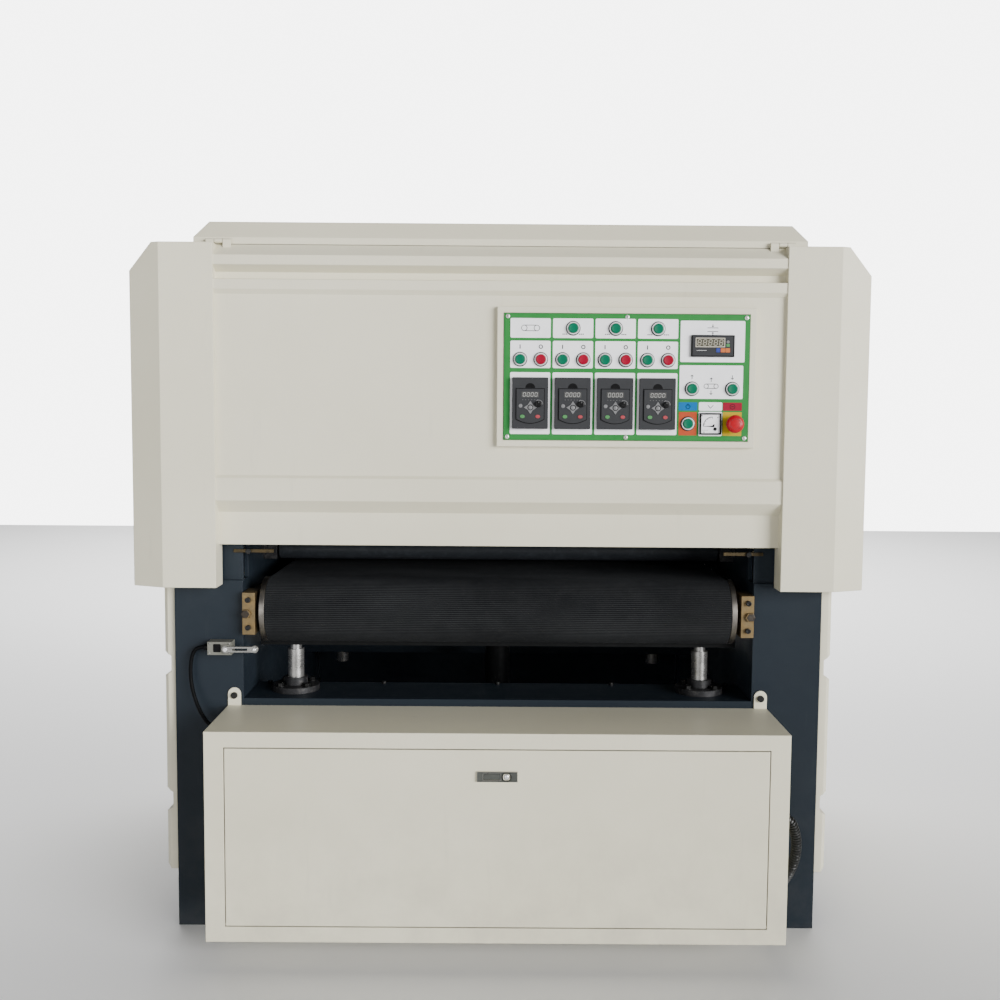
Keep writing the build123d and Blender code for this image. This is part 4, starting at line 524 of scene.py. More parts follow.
def ribbed_belt():
    """The belt's loop with a low rib every few millimetres, pushed across its width."""
    low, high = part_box("conveyor_belt")
    drive = middle("drive_roller")
    first = middle("front_roller")
    outer = (high.z - low.z) / 2
    pitch, depth, thick = 4.7 * MM, 1.5 * MM, 4.9 * MM
    ribs = round((2 * (drive.y - first.y) + 2 * math.pi * outer) / pitch)
    one_rib = [0.85, 1.0, 0.85, 0.1, 0.0, 0.1]
    rise = np.tile(one_rib, ribs)
    line, normal = loop_round((first.y, first.z), (drive.y, drive.z), outer - depth, len(rise))
    top = line + normal * (depth * rise)[:, None]
    under = line - normal * (thick - depth)
    section = np.stack([top, top, under, under])
    x = np.array([low.x, high.x, high.x, low.x])
    points = np.empty((4, len(line), 3))
    points[:, :, 0] = x[:, None]
    points[:, :, 1:] = section
    faces = quads(4, len(line), close_rows=True, close_columns=True).tolist()
    belt = piece("ribbed_conveyor_belt", [(points.reshape(-1, 3), faces)], BELT, "conveyor",
                 50)
    # The "crest" layer holds the rib heights; the belt's finish uses it to paint its highlight on the rib
    # crests.
    crest = np.zeros((4, len(line)), np.float32)
    crest[:2] = rise
    wear = belt.data.attributes.new("crest", "FLOAT", "POINT")
    wear.data.foreach_set("value", crest.ravel())
    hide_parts("conveyor_belt")


ribbed_belt()


# ---- control panel ----
FILM = layer(PLATE_FACE, -0.4, 0.3)
PRINT = layer(PLATE_FACE, -0.7, -0.3)
RIGHT_X = PLATE_MID.x + 188.5 * MM
LABEL_Z = STOP.z + 38.5 * MM
STOP_FIELD_X = STOP.x - 3 * MM


def films(name, finish, fields, radius=3.0):
    """Printed fields given as (x, z, width, height), the last two in millimetres."""
    shapes = [tile(x, z, width, height, radius, FILM) for x, z, width, height in fields]
    piece(name, shapes, finish, "frame")


rows = ((LAMP_Z, 43), (PAIR_Z + 11 * MM, 60), (KEYPAD_Z, 137))
white = [(x, z, 89, height) for x in FIELD_X for z, height in rows]
white += [(RIGHT_X + 1.5 * MM, READOUT_Z + 10 * MM, 143, 91), (RIGHT_X, LIFT_Z + 15 * MM, 141, 74)]
white += [(METER_X, LABEL_Z, 52, 19), (METER_X, STOP.z, 52.5, 54)]
films("panel_white_fields", FIELD_WHITE, white)
films("panel_orange_field", FIELD_ORANGE, [(POWER_X, STOP.z, 40, 52)], 1.0)
films("panel_yellow_field", FIELD_YELLOW, [(STOP_FIELD_X, STOP.z, 42, 53)], 1.0)
films("panel_blue_label", LABEL_BLUE, [(POWER_X, LABEL_Z, 41, 18)], 1.0)
films("panel_red_label", LABEL_RED, [(STOP_FIELD_X, LABEL_Z, 42, 18)], 1.0)


def ring_mark(cx, cz, radius, width):
    """A thin printed ring, as two half bands; its radius and width are in millimetres."""
    return [prism(band(cx, cz, radius * MM, width * MM, a, a + 180), PRINT) for a in (0, 180)]


def bar(cx, cz, x0, z0, x1, z1, width=1.3):
    """A printed line between two points given in millimetres from a middle."""
    return prism(stroke((cx + x0 * MM, cz + z0 * MM), (cx + x1 * MM, cz + z1 * MM), width * MM), PRINT)


def conveyor_sign(cx, cz, size):
    """Sign of a conveyor: two rollers and the two runs of their belt."""
    half, r = size / 2, 0.22 * size
    marks = ring_mark(cx - half * MM, cz, r, 1.2) + ring_mark(cx + half * MM, cz, r, 1.2)
    return marks + [bar(cx, cz, -half, side * r, half, side * r) for side in (-1, 1)]


def arrow(cx, cz, length, up):
    """Sign of an arrow, up (1) or down (-1)."""
    tip, head = up * length / 2, 0.32 * length
    barbs = [bar(cx, cz, side * head, tip - up * head, 0, tip) for side in (-1, 1)]
    return [bar(cx, cz, 0, -tip, 0, tip)] + barbs


def panel_signs():
    """Signs without words: bar and ring for on and off, dashes, arrows, conveyors and rings."""
    marks = []
    half = FIELD_X[0] - middle("start_button_1").x
    for x in FIELD_X:
        marks.append(bar(x - half, PAIR_Z, 0, 23.5, 0, 32.5, 2.2))
        marks += ring_mark(x + half, PAIR_Z + 28 * MM, 3.8, 1.9)
    for x in FIELD_X[1:]:
        for side in (-1, 1):
            marks += [bar(x, LAMP_Z, side * s, -13, side * (s + 2.6), -13, 2.2) for s in (13, 17, 21)]
    marks += conveyor_sign(FIELD_X[0], LAMP_Z, 28)
    sign_z = LIFT_Z + 6 * MM
    marks += conveyor_sign(RIGHT_X, sign_z, 22)
    marks += arrow(RIGHT_X, sign_z + 14 * MM, 9, 1) + arrow(RIGHT_X, sign_z - 14 * MM, 9, -1)
    marks += arrow(middle("up_button").x, LIFT_Z + 26 * MM, 9, 1)
    marks += arrow(middle("down_button").x, LIFT_Z + 26 * MM, 9, -1)
    marks += [bar(READOUT_X, READOUT_Z, -12, z, 12, z) for z in (40, 32)]
    marks += arrow(READOUT_X, READOUT_Z + 45 * MM, 6, -1) + arrow(READOUT_X, READOUT_Z + 27 * MM, 6, 1)
    marks += [bar(METER_X, LABEL_Z, side * 6, 3, 0, -4, 1.2) for side in (-1, 1)]
    marks += ring_mark(POWER_X, LABEL_Z - 0.5 * MM, 4.5, 1.1)
    marks.append(bar(POWER_X, LABEL_Z, 0, 0, 0, 6.5))
    marks += ring_mark(STOP_FIELD_X, LABEL_Z, 5.5, 1.1)
    marks.append(bar(STOP_FIELD_X, LABEL_Z, -2.8, 0, 2.8, 0, 1.6))
    piece("panel_signs", marks, INK, "frame")


panel_signs()

COLLAR_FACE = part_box("button_bezels")[0].y


def collar(x, z):
    """Bright lip of a collar: a flat ring with rolled edges that slopes in to the cap."""
    profile = [(11.2, 2.6), (13.8, 2.6), (13.9, 1.0), (13.6, 0.25), (13.1, 0), (12.3, 0.1), (11.6, 0.6),
               (11.2, 1.6), (11.2, 2.6)]
    return lathe(profile, x, COLLAR_FACE, z)


def barrel(x, z, bore=11.4):
    """Black barrel of a collar between its lip and the plate, with a wider ring at the plate; the black of
    both is a painted shadow round the collar.
    """
    top = (COLLAR_FACE - PLATE_FACE) / MM + 2.3
    # The step out to 16.3 mm at the plate is the wider black ring, a painted shadow just outside the collar.
    profile = [(bore, 0), (16.3, 0), (16.3, -1.1), (14.5, -1.5), (14.5, top), (bore, top), (bore, 0)]
    return lathe(profile, x, PLATE_FACE, z)


buttons = [f"{kind}_button_{i}" for kind in ("start", "stop") for i in range(1, 5)]
buttons += ["up_button", "down_button"]
lamps = [(x, LAMP_Z) for x in FIELD_X[1:]] + [(POWER_X, STOP.z)]
collar_places = [(middle(name).x, middle(name).z) for name in buttons] + lamps
piece("button_collars", [collar(x, z) for x, z in collar_places], COLLAR_CHROME, "frame", 30)
barrel_shapes = [barrel(x, z) for x, z in collar_places] + [barrel(STOP.x, STOP.z, 8.4)]
barrels = piece("button_barrels", barrel_shapes, COLLAR_SHADE, "frame", 30)
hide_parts("button_bezels")


def cap(x, z, face, back):
    """A cap with a rounded rim and a slightly dished face."""
    depth = (back - face) / MM
    profile = [(0, 0.7), (5, 0.55), (8.2, 0.2), (9.5, 0), (10.4, 0.3), (10.8, 1.2), (10.8, depth),
               (0, depth)]
    return lathe(profile, x, face, z)


for name in buttons:
    low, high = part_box(name)
    at = middle(name)
    finish, slot = (CAP_RED, "plastic_red") if name.startswith("stop") else (CAP_GREEN, "plastic_green")
    made = piece(name.replace("button", "cap"), [cap(at.x, at.z, low.y, high.y)], finish, name, 40)
    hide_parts(name)
lamp_shapes = [cap(x, z, COLLAR_FACE - 3.0 * MM, PLATE_FACE) for x, z in lamps]
lamp_caps = piece("pilot_lamp_caps", lamp_shapes, CAP_GREEN, "frame", 40)
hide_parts("pilot_lamps")


def stop_head():
    """Mushroom head: domed face, rolled rim, waist and stem, with two raised turning arrows coloured darker
    red as painted shade.
    """
    low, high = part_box("emergency_stop")
    stem = (high.y - low.y) / MM
    profile = [(0, 0), (8, 0.15), (13, 0.9), (16.5, 2.4), (18.9, 5), (20, 8.2), (19.6, 11), (18, 13.2),
               (15, 14), (8, 14.4), (8, stem), (0, stem)]
    head = lathe(profile, STOP.x, low.y, STOP.z, 96)
    made = piece("stop_mushroom", [head], STOP_RED, "emergency_stop", 50)
    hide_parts("emergency_stop")
    marks, depth = [], layer(low.y, 0.15, 2.5)
    for start in (20, 200):
        marks.append(prism(band(STOP.x, STOP.z, 11.5 * MM, 1.6 * MM, start, start + 110), depth))
        corners = ((8.9, start + 108), (14.1, start + 108), (11.5, start + 124))
        marks.append(prism([polar(STOP.x, STOP.z, r, a) for r, a in corners], depth))
    piece("stop_turn_arrows", marks, STOP_ARROW_SHADE, "emergency_stop")


stop_head()


def flat_pieces(group, parts):
    """Pieces of the panel given as {part: (shapes, finish, slot, edge radius in millimetres)}."""
    for part, (shapes, finish, slot, edge) in parts.items():
        piece(f"{group}_{part}", shapes, finish, "frame", 40 if edge else 35, edge * MM)


# ---- digits ----
SEGMENTS_OF = {"0": "abcdef", "8": "abcdefg"}


def digit(character, cx, cz, width, height, depth):
    """One seven-segment figure, leaning a little."""
    t = 0.17 * width
    w, h = width / 2 - t / 2, height / 2 - t / 2
    ends = {"a": ((-w, h), (w, h)), "g": ((-w, 0), (w, 0)), "d": ((-w, -h), (w, -h)), "f": ((-w, h), (-w, 0)),
            "b": ((w, h), (w, 0)), "e": ((-w, 0), (-w, -h)), "c": ((w, 0), (w, -h))}
    shapes = []
    for letter in SEGMENTS_OF[character]:
        a, b = (np.array(p, float) for p in ends[letter])
        inward = (b - a) * 0.10
        line = stroke(a + inward, b - inward, t)
        line[:, 0] += 0.12 * line[:, 1]
        shapes.append(prism(line + (cx, cz), depth))
    return shapes


def number(text, cx, cz, pitch, width, height, depth):
    """A row of figures about a middle; pitch, width and height are in millimetres."""
    shapes = []
    for i, character in enumerate(text):
        x = cx + pitch * MM * (i - (len(text) - 1) / 2)
        shapes += digit(character, x, cz, width * MM, height * MM, depth)
    return shapes


# ---- drive keypads ----
KEY_FACE = KEYPAD_LOW.y
CASE_FACE = KEY_FACE + 3 * MM
STAR_ARM = 14.5


def shield(cx, top, bottom, width, sag, depth, count=20):
    """A flat shape with a straight top and sides and a lower edge that sags in an arc, in
    millimetres from the keypads' middle height."""
    x = np.linspace(width / 2, -width / 2, count)
    arc = bottom - sag * (1 - (2 * x / width) ** 2)
    flat = np.concatenate([[(-width / 2, top), (width / 2, top)], np.stack([x, arc], 1)])
    return prism(flat * MM + (cx, KEYPAD_Z), depth)


def keypads():
    """Drive keypads: a case with a finger notch, a raised key field with a sagging lower edge, a
    window with figures, a row of marks, grey keys in a star, and a green and a red key."""
    case, shade_outlines, notches, windows, figures, leds, grey, green, red, scale_highlight_arcs = ([] for _ in range(10))
    case_height = (KEYPAD_HIGH.z - KEYPAD_LOW.z) / MM
    for i, x in enumerate(FIELD_X, 1):
        case.append(tile(x, KEYPAD_Z, 80, case_height, 2.5, (CASE_FACE, PLATE_FACE)))
        case.append(shield(x, 31.6, -35, 61, 9, (KEY_FACE, CASE_FACE + MM)))
        # Painted shade: a black outline a little wider than the key field, standing for the shade in the
        # groove round it.
        shade_outlines.append(shield(x, 33, -36, 64, 9.5, layer(CASE_FACE, -0.6, 1)))
        # Painted shade: the finger notch is a black half disc.
        notch = band(x, KEYPAD_Z + 33.4 * MM, 5.4 * MM, 10.8 * MM, 0, 180, 32)
        notches.append(prism(notch, layer(CASE_FACE, -0.25, 1)))
        window_z = KEYPAD_Z + 19 * MM
        windows.append(tile(x, window_z, 38, 12.5, 1, layer(KEY_FACE, -0.3, 0.3)))
        figures += number("0000", x, window_z, 8.6, 6.2, 9.6, layer(KEY_FACE, -0.6, -0.2))
        for step in (-2.5, -1.5, -0.5, 0.5, 1.5, 2.5):
            mark = circle(x + step * 6.6 * MM, KEYPAD_Z + 7.5 * MM, 0.9 * MM, 12)
            leds.append(prism(mark, layer(KEY_FACE, -0.4, 0)))
        side_key = [(0, -1.6), (3.6, -1.4), (4.4, -0.6), (4.4, 0.2), (0, 0.2)]
        grey.append(lathe(side_key, x - 21.5 * MM, KEY_FACE, KEYPAD_Z - 6 * MM, 32))
        cx, cz = x + 0.5 * MM, KEYPAD_Z - 9.5 * MM
        star = [polar(cx, cz, STAR_ARM * (0.56 if a % 90 else 1), a) for a in range(0, 360, 45)]
        grey.append(prism(star, layer(KEY_FACE, -1.3, 0.2)))
        # Painted shade: a black disc round the centre key.
        shade_outlines.append(prism(circle(cx, cz, 6.4 * MM), layer(KEY_FACE, -1.6, 0)))
        grey.append(lathe([(0, -2.2), (4.2, -2.1), (5.0, -1.4), (5.0, 0), (0, 0)], cx, KEY_FACE, cz, 32))
        for side, keys in ((-1, green), (1, red)):
            oval = circle(x + side * 17 * MM, KEYPAD_Z - 29.5 * MM, 5.2 * MM, squash=0.75)
            keys.append(prism(oval, layer(KEY_FACE, -1.5, 0.2)))
        knob = middle(f"speed_knob_{i}")
        # A printed scale arc round the knob's upper right, kept pale grey as a painted highlight beside the
        # knob's rim.
        scale = band(knob.x, knob.z, 8.8 * MM, 1.3 * MM, -5, 125, 24)
        scale_highlight_arcs.append(prism(scale, layer(KEY_FACE, -0.35, 0)))
    made = piece("keypad_cases", case, KEYPAD, "frame", 40, 0.5 * MM)
    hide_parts("drive_keypads")
    flat_pieces("keypad", {
        "groove_shade": (shade_outlines + notches, KEYPAD_DARK, "plastic_black", 0),
        "windows": (windows, GLASS_GREY, "plastic_black", 0),
        "figures": (figures, SEGMENT, "plastic_grey", 0),
        "led_marks": (leds, LED, "plastic_grey", 0),
        "grey_keys": (grey, KEY_GREY, "plastic_grey", 0.3),
        "green_keys": (green, KEY_GREEN, "plastic_green", 0.5),
        "red_keys": (red, KEY_RED, "plastic_red", 0.5),
    })
    piece("knob_scales", scale_highlight_arcs, KEY_GREY, "frame")


keypads()


def fluted(radius, front, back, centre, flutes=18, count=108):
    """A knob whose side waves in and out: radius * (1 - 0.035 * (1 + cos(flutes * a)))."""
    levels = [(0.0, 0.4), (0.55, 0.0), (0.82, 0.1), (0.96, 0.7), (1.0, 1.6), (1.0, 9.0)]
    a = np.linspace(0, 2 * math.pi, count, endpoint=False)
    wave = 1 - 0.035 * (1 + np.cos(flutes * a))
    rows = []
    for share, down in levels:
        r = radius * share * (wave if share > 0.9 else 1.0) * np.ones(count)
        y = np.full(count, min(front + down * MM, back))
        rows.append(np.stack([centre.x + r * np.cos(a), y, centre.z + r * np.sin(a)], 1))
    rows.append(np.stack([np.full(count, centre.x), np.full(count, back), np.full(count, centre.z)], 1))
    return np.concatenate(rows), quads(len(rows), count, close_columns=True).tolist()


for i in range(1, 5):
    name = f"speed_knob_{i}"
    low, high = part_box(name)
    at = middle(name)
    back = KEY_FACE - 0.4 * MM
    stem_end = (high.y - back) / MM
    stem = lathe([(0, -1), (2.9, -1), (2.9, stem_end), (0, stem_end)], at.x, back, at.z, 24)
    knob = piece(f"fluted_knob_{i}", [fluted(6.95 * MM, low.y, back, at), stem], KNOB_BLACK, name,
                 40)
    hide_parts(name)
    pointer = stroke((at.x, at.z + 2.2 * MM), (at.x, at.z + 6.2 * MM), 1.1 * MM)
    piece(f"knob_pointer_{i}", [prism(pointer, layer(low.y, -0.15, 1.2))], LED, name)


# ---- readout and voltmeter ----
READOUT_FACE = PLATE_FACE - 6 * MM
METER_FACE = PLATE_FACE - 7 * MM
DIAL = layer(PLATE_FACE, -3.4, -0.3)


def frame_ring(cx, cz, width, height, rim, depth):
    """A rectangular frame of four bars, measured in millimetres."""
    x, z = (width - rim) / 2 * MM, (height - rim) / 2 * MM
    bars = [tile(cx, cz + side * z, width, rim, 0.2, depth, 2) for side in (-1, 1)]
    return bars + [tile(cx + side * x, cz, rim, height - 2 * rim, 0.2, depth, 2) for side in (-1, 1)]


def instrument_cases():
    """Case of the thickness readout and frame of the voltmeter."""
    case = [tile(READOUT_X, READOUT_Z, *READOUT_SIZE, 1.5, (READOUT_FACE, PLATE_FACE))]
    case += frame_ring(METER_X, STOP.z, 48, 48, 3.2, (METER_FACE, PLATE_FACE))
    made = piece("instrument_cases", case, KEYPAD_DARK, "frame", 40, 0.6 * MM)
    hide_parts("panel_instruments")


def readout():
    """Thickness readout: a window with five figures, and keys of several colours."""
    x, z, face = READOUT_X, READOUT_Z, READOUT_FACE
    lcd_x, lcd_z = x - 6 * MM, z + 7.5 * MM
    key_x, low_key_z = x + 33 * MM, z - 9.5 * MM
    keys = layer(face, -1.4, 0)
    rule = stroke((x - 36 * MM, z - 10 * MM), (x - 14 * MM, z - 10 * MM), 0.7 * MM)
    flat_pieces("readout", {
        "face": ([tile(x, z, 90, 43, 1, layer(face, -0.4, 0.2))], KEYPAD, "plastic_dark", 0),
        "bezel": (frame_ring(lcd_x, lcd_z, 65, 20.5, 1.4, layer(face, -1, 0)), RIM, "plastic_grey", 0.2),
        "window": ([tile(lcd_x, lcd_z, 62, 17.5, 0.3, layer(face, -0.6, 0))], LCD, "plastic_grey", 0),
        "figures": (number("88888", lcd_x, lcd_z, 12, 8.4, 13.5, layer(face, -0.8, -0.5)), FIGURE,
                    "plastic_grey", 0),
        "round_key": ([prism(circle(key_x, z + 9 * MM, 3.3 * MM), keys)], KEY_GREY, "plastic_grey", 0),
        "green_key": ([tile(key_x, z + 1.5 * MM, 7.5, 6.5, 1, keys)], KEY_GREEN, "plastic_green", 0.3),
        "blue_key": ([tile(x + 11.5 * MM, low_key_z, 9, 9.5, 2, keys)], KEY_BLUE, "plastic_dark", 0.3),
        "orange_keys": ([tile(x + dx * MM, low_key_z, 10, 9.5, 1.5, keys) for dx in (22, 32.5)], KEY_ORANGE,
                        "plastic_red", 0.3),
        "rule": ([prism(rule, layer(face, -0.7, -0.3))], INK_WHITE, "plastic_grey", 0),
    })


def voltmeter():
    """Quarter-scale voltmeter: dial, scale with eleven ticks, dots, needle, cover and screw."""
    piece("voltmeter_dial", [tile(METER_X, STOP.z, 43, 43, 0.5, DIAL)], FIELD_WHITE, "frame")
    ink = layer(DIAL[0], -0.3, 0.2)
    px, pz = METER_X + 5 * MM, STOP.z - 5.5 * MM
    marks = [prism(band(px, pz, 21 * MM, 1.2 * MM, 92, 180, 30), ink)]
    for i in range(11):
        ends = [polar(px, pz, r, 92 + 8.8 * i) for r in (19.3 if i % 2 else 17.5, 21.5)]
        marks.append(prism(stroke(*ends, 0.9 * MM), ink))
    rule_z = STOP.z - 14 * MM
    marks.append(prism(stroke((METER_X - 19 * MM, rule_z), (METER_X - 5 * MM, rule_z), 0.6 * MM), ink))
    for dx, dz in ((-19, 18), (16, 14), (-14, -18.5)):
        marks.append(prism(circle(METER_X + dx * MM, STOP.z + dz * MM, 1.2 * MM, 16), ink))
    marks += number("0", METER_X - 14 * MM, STOP.z - 2 * MM, 0, 1.8, 3, ink)
    for corners in ([(0, 1.4), (-19.5, 0.3), (-19.5, -0.3), (0, -1.4)],
                    [(-3.5, -1.6), (3.6, -1.6), (4.2, 4.6), (1.8, 4.4)]):
        marks.append(prism([(px + x * MM, pz + z * MM) for x, z in corners], layer(ink[0], -0.6, -0.2)))
    screw = [(0, -1.8), (3.2, -1.6), (3.9, -0.8), (3.9, 0), (0, 0)]
    marks.append(lathe(screw, METER_X + 10.5 * MM, DIAL[0], STOP.z - 11.5 * MM, 32))
    piece("voltmeter_marks", marks, INK, "frame")


instrument_cases()
readout()
voltmeter()


# ---- screws and bolts ----
def stacked_rings(x, y, z, angle, rings):
    """Rings of points (radius, depth) about a line along y, joined one to the next."""
    count = len(angle)
    across, above = np.cos(angle), np.sin(angle)
    rows = []
    for radius, depth in rings:
        rows.append(np.stack([x + radius * across, np.full(count, y + depth), z + radius * above], 1))
    return np.concatenate(rows), quads(len(rings), count, close_columns=True).tolist()


def hex_socket_screw(x, y, z, radius):
    """Socket screw seen from the front: a knurled head with a hexagonal socket."""
    deep, socket = 7.9 * MM, 1.6 * MM
    a = np.linspace(0, 2 * math.pi, 36, endpoint=False)
    wave = radius * (1 - 0.03 * (np.arange(36) % 2))
    hexagon = radius * 0.55 * np.cos(math.pi / 6) / np.cos((a % (math.pi / 3)) - math.pi / 6)
    rings = [(0, socket), (hexagon, socket), (hexagon, 0), (wave * 0.93, 0), (wave, 0.5 * MM), (wave, deep)]
    return stacked_rings(x, y, z, a, rings + [(0, deep)])


def hexagon_head(x, y, z, size, height):
    """A bolt head: hexagon with a chamfered front face."""
    rings = [(0, 0), (size * 0.86, 0), (size, 0.12 * height), (size, height), (0, height)]
    return stacked_rings(x, y, z, np.radians(np.arange(6) * 60), rings)


def pan_head(x, y, z, radius):
    """Pan-head screw: low dome with a rolled rim."""
    dome = [(0.0, 0.0), (0.45, 0.05), (0.75, 0.22), (0.93, 0.5), (1.0, 0.85), (1.0, 1.0), (0.0, 1.0)]
    return turned([(r * radius, y + h * 2.4 * MM) for r, h in dome], (x, 0, z), count=24)


def end_block_bolts():
    """Two socket screws and the belt's tension bolt in each end block, on the conveyor."""
    low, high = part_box("conveyor_side_bars")
    z = (low.z + high.z) / 2
    screws, bolts = [], []
    for side in (-1, 1):
        x = side * (high.x - 14.5 * MM)
        screws += [hex_socket_screw(x, low.y + 0.2 * MM, z + dz * MM, 6.2 * MM) for dz in (-32, 32)]
        bolts.append(hexagon_head(x + side * 5 * MM, low.y - 0.3 * MM, z, 10.8 * MM, 9.0 * MM))
    piece("end_block_screws", screws, BLACK_BOLT, "conveyor")
    piece("tension_bolts", bolts, SPINDLE_BOLT, "conveyor", 30, 0.3 * MM)


def panel_screws():
    """Six bright pan-head screws round the control plate, each with a cross slot drawn as a black flat cross:
    painted shade.
    """
    heads, slots = [], []
    half_x = (plate_high.x - plate_low.x) / 2 - 8 * MM
    half_z = (plate_high.z - plate_low.z) / 2 - 7 * MM
    front = PLATE_FACE - 2.6 * MM
    for i, j in ((-1, -1), (-1, 1), (0, -1), (0, 1), (1, -1), (1, 1)):
        x, z = PLATE_MID.x + i * half_x, PLATE_MID.z + j * half_z
        heads.append(pan_head(x, front, z, 5.0 * MM))
        for dx, dz in ((2.4 * MM, 1.6 * MM), (-1.6 * MM, 2.4 * MM)):
            # Painted shade: one black stroke of the cross slot.
            slot = stroke((x - dx, z - dz), (x + dx, z + dz), 0.9 * MM)
            slots.append(prism(slot, layer(front, -0.05, 1.2)))
    piece("panel_screws", heads, SCREW_BRIGHT, "frame", 50)
    piece("panel_screw_slot_shade", slots, KEYPAD_DARK, "frame")


end_block_bolts()
panel_screws()


# ---- limit switch, infeed strips and lock ----
def limit_switch_trim():
    """Limit switch's dark window with its plate, four screws and the cable's black gland."""
    low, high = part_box("limit_switch")
    face = high.y - 34 * MM
    x0, z = high.x - 55 * MM, (low.z + high.z) / 2
    window = [tile(x0 + 22 * MM, z + MM, 17, 19, 2, layer(face, -0.8, 1))]
    window.append(tile(x0 + 22 * MM, z + MM, 9, 11, 1, layer(face, -1.4, 0)))
    piece("switch_window", window, KEYPAD_DARK, "frame", 40, 0.4 * MM)
    corners = [(x0 + dx * MM, z + dz * MM) for dx in (5, 50) for dz in (-11, 11)]
    screws = [pan_head(cx, face - 1.6 * MM, cz, 2.4 * MM) for cx, cz in corners]
    piece("switch_screws", screws, ZINC, "frame", 40)
    profile = np.array([(0, 0), (7.6, 0), (8.0, 1.5), (8.0, 8.5), (6.8, 10.5), (0, 10.5)]) * MM
    gland = turned(profile, (low.x - 0.3 * MM, high.y - 17 * MM, z), "x", 24)
    piece("switch_gland", [gland], KEYPAD_DARK, "frame", 40)
    lever_low, lever_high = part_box("limit_lever")
    nut = hexagon_head(lever_low.x + 8 * MM, lever_low.y - 3.2 * MM, z, 5.2 * MM, 3.4 * MM)
    roller = pan_head(lever_high.x - 8.5 * MM, lever_low.y - 1.2 * MM, z, 4.2 * MM)
    piece("lever_nut", [nut, roller], SCREW_BRIGHT, "limit_lever", 30)


# In metres, for the right end: the strip's x and z, and its bolt's middle.
STRIP_X = (0.520, 0.612)
STRIP_Z = (0.886, 0.894)
STRIP_BOLT = (0.578, 0.889)


def infeed_strips():
    """Plated strip with its bolt at each end of the infeed, on the leg's shoulder plate."""
    strips, bolts = [], []
    front = FRONT_OF_LEGS + 4 * MM
    for side in (-1, 1):
        (start, end), (low, high) = sorted(side * x for x in STRIP_X), STRIP_Z
        strips.append(prism([(start, low), (end, low), (end, high), (start, high)], layer(front, 0, 6)))
        bolts.append(hexagon_head(side * STRIP_BOLT[0], front - 5 * MM, STRIP_BOLT[1], 7 * MM, 5.5 * MM))
    piece("infeed_strips", strips, DULL_BRASS, "frame", 30, 0.5 * MM)
    piece("infeed_strip_bolts", bolts, BLACK_BOLT, "frame", 30, 0.3 * MM)


def lock_trim():
    """Dark face of the cabinet's lock with a bright rim, and the dome of its button."""
    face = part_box("cabinet_door")[0].y
    z = middle("lock_handle").z
    grip_low, grip_high = (corner.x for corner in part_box("lock_handle"))
    button_x = middle("lock_button").x
    half = 43 * MM
    skin = layer(face, -0.35, 1)
    ends = [(-half, grip_low - 0.8 * MM), (grip_high + 0.8 * MM, button_x - 7.5 * MM),
            (button_x + 7.5 * MM, half)]
    plates = [tile((a + b) / 2, z, (b - a) / MM, 20.5, 0.5, skin, 3) for a, b in ends]
    gaps = ((grip_low - MM, grip_high + MM), (button_x - 8 * MM, button_x + 8 * MM))
    for side in (-1, 1):
        plates += [tile((a + b) / 2, z + side * 8.6 * MM, (b - a) / MM, 3.2, 0.3, skin, 3) for a, b in gaps]
    ring = [(6.5, 1.0), (10.7, 1.0), (10.7, -0.35), (8.2, -0.35), (7.6, 0.4), (6.5, 0.4), (6.5, 1.0)]
    plates.append(lathe(ring, button_x, face, z, 40))
    piece("lock_face", plates, LOCK_STEEL, "cabinet_door", 40)
    rim = frame_ring(0.0, z, 87, 22, 1.0, layer(face, -0.6, 1))
    grip_width = (grip_high - grip_low) / MM + 2.4
    grip = frame_ring((grip_low + grip_high) / 2, z, grip_width, 15.6, 0.9, layer(face, -0.5, 0))
    piece("lock_rim", rim + grip, ZINC, "cabinet_door", 40)
    knob = [(0.0, -1.5), (2.4, -1.3), (4.2, -0.7), (5.2, 0.0), (5.7, 1.2), (5.7, 3.0), (0.0, 3.0)]
    dome = lathe(knob, button_x, face, z, 40)
    piece("lock_button_dome", [dome], SCREW_BRIGHT, "lock_button", 50)


limit_switch_trim()
infeed_strips()
lock_trim()


# ---- cables ----
# Routes in millimetres: the cable's from its gland on the switch, the conduit's from the cabinet's
# side and the legs' front, with the height from the floor.
CABLE_START = (-675.5, -17.0, 669.0)
CABLE_ROUTE = [
    (0, 0, 0), (-16, 0, 0), (-29, -1, -15), (-34, -2, -48), (-31, -5, -88), (-20, -11, -124), (-3, -19, -156),
    (20, -30, -180), (48.5, -30, -180),
]
CONDUIT_ROUTE = [
    (0, -95, 306), (34, -95, 306), (53, -91, 262), (56, -81, 212), (48, -63, 164), (35, -35, 122),
    (35, 0, 122),
]


def smooth_line(name, points):
    """A curve of one NURBS spline of order 3 that starts and ends at its end points."""
    curve = bpy.data.curves.new(name, "CURVE")
    curve.dimensions = "3D"
    curve.resolution_u = 12
    spline = curve.splines.new("NURBS")
    spline.points.add(len(points) - 1)
    for point, place in zip(spline.points, points):
        point.co = (*place, 1)
    spline.order_u = 3
    spline.use_endpoint_u = True
    return curve


def line_points(curve):
    """Points along a curve, as Blender evaluates it, with its length."""
    probe = bpy.data.objects.new("probe", curve)
    bpy.context.scene.collection.objects.link(probe)
    mesh = bpy.data.meshes.new_from_object(probe)
    points = np.array([v.co[:] for v in mesh.vertices])
    bpy.data.objects.remove(probe)
    bpy.data.meshes.remove(mesh)
    return points, float(np.linalg.norm(np.diff(points, axis=0), axis=1).sum())


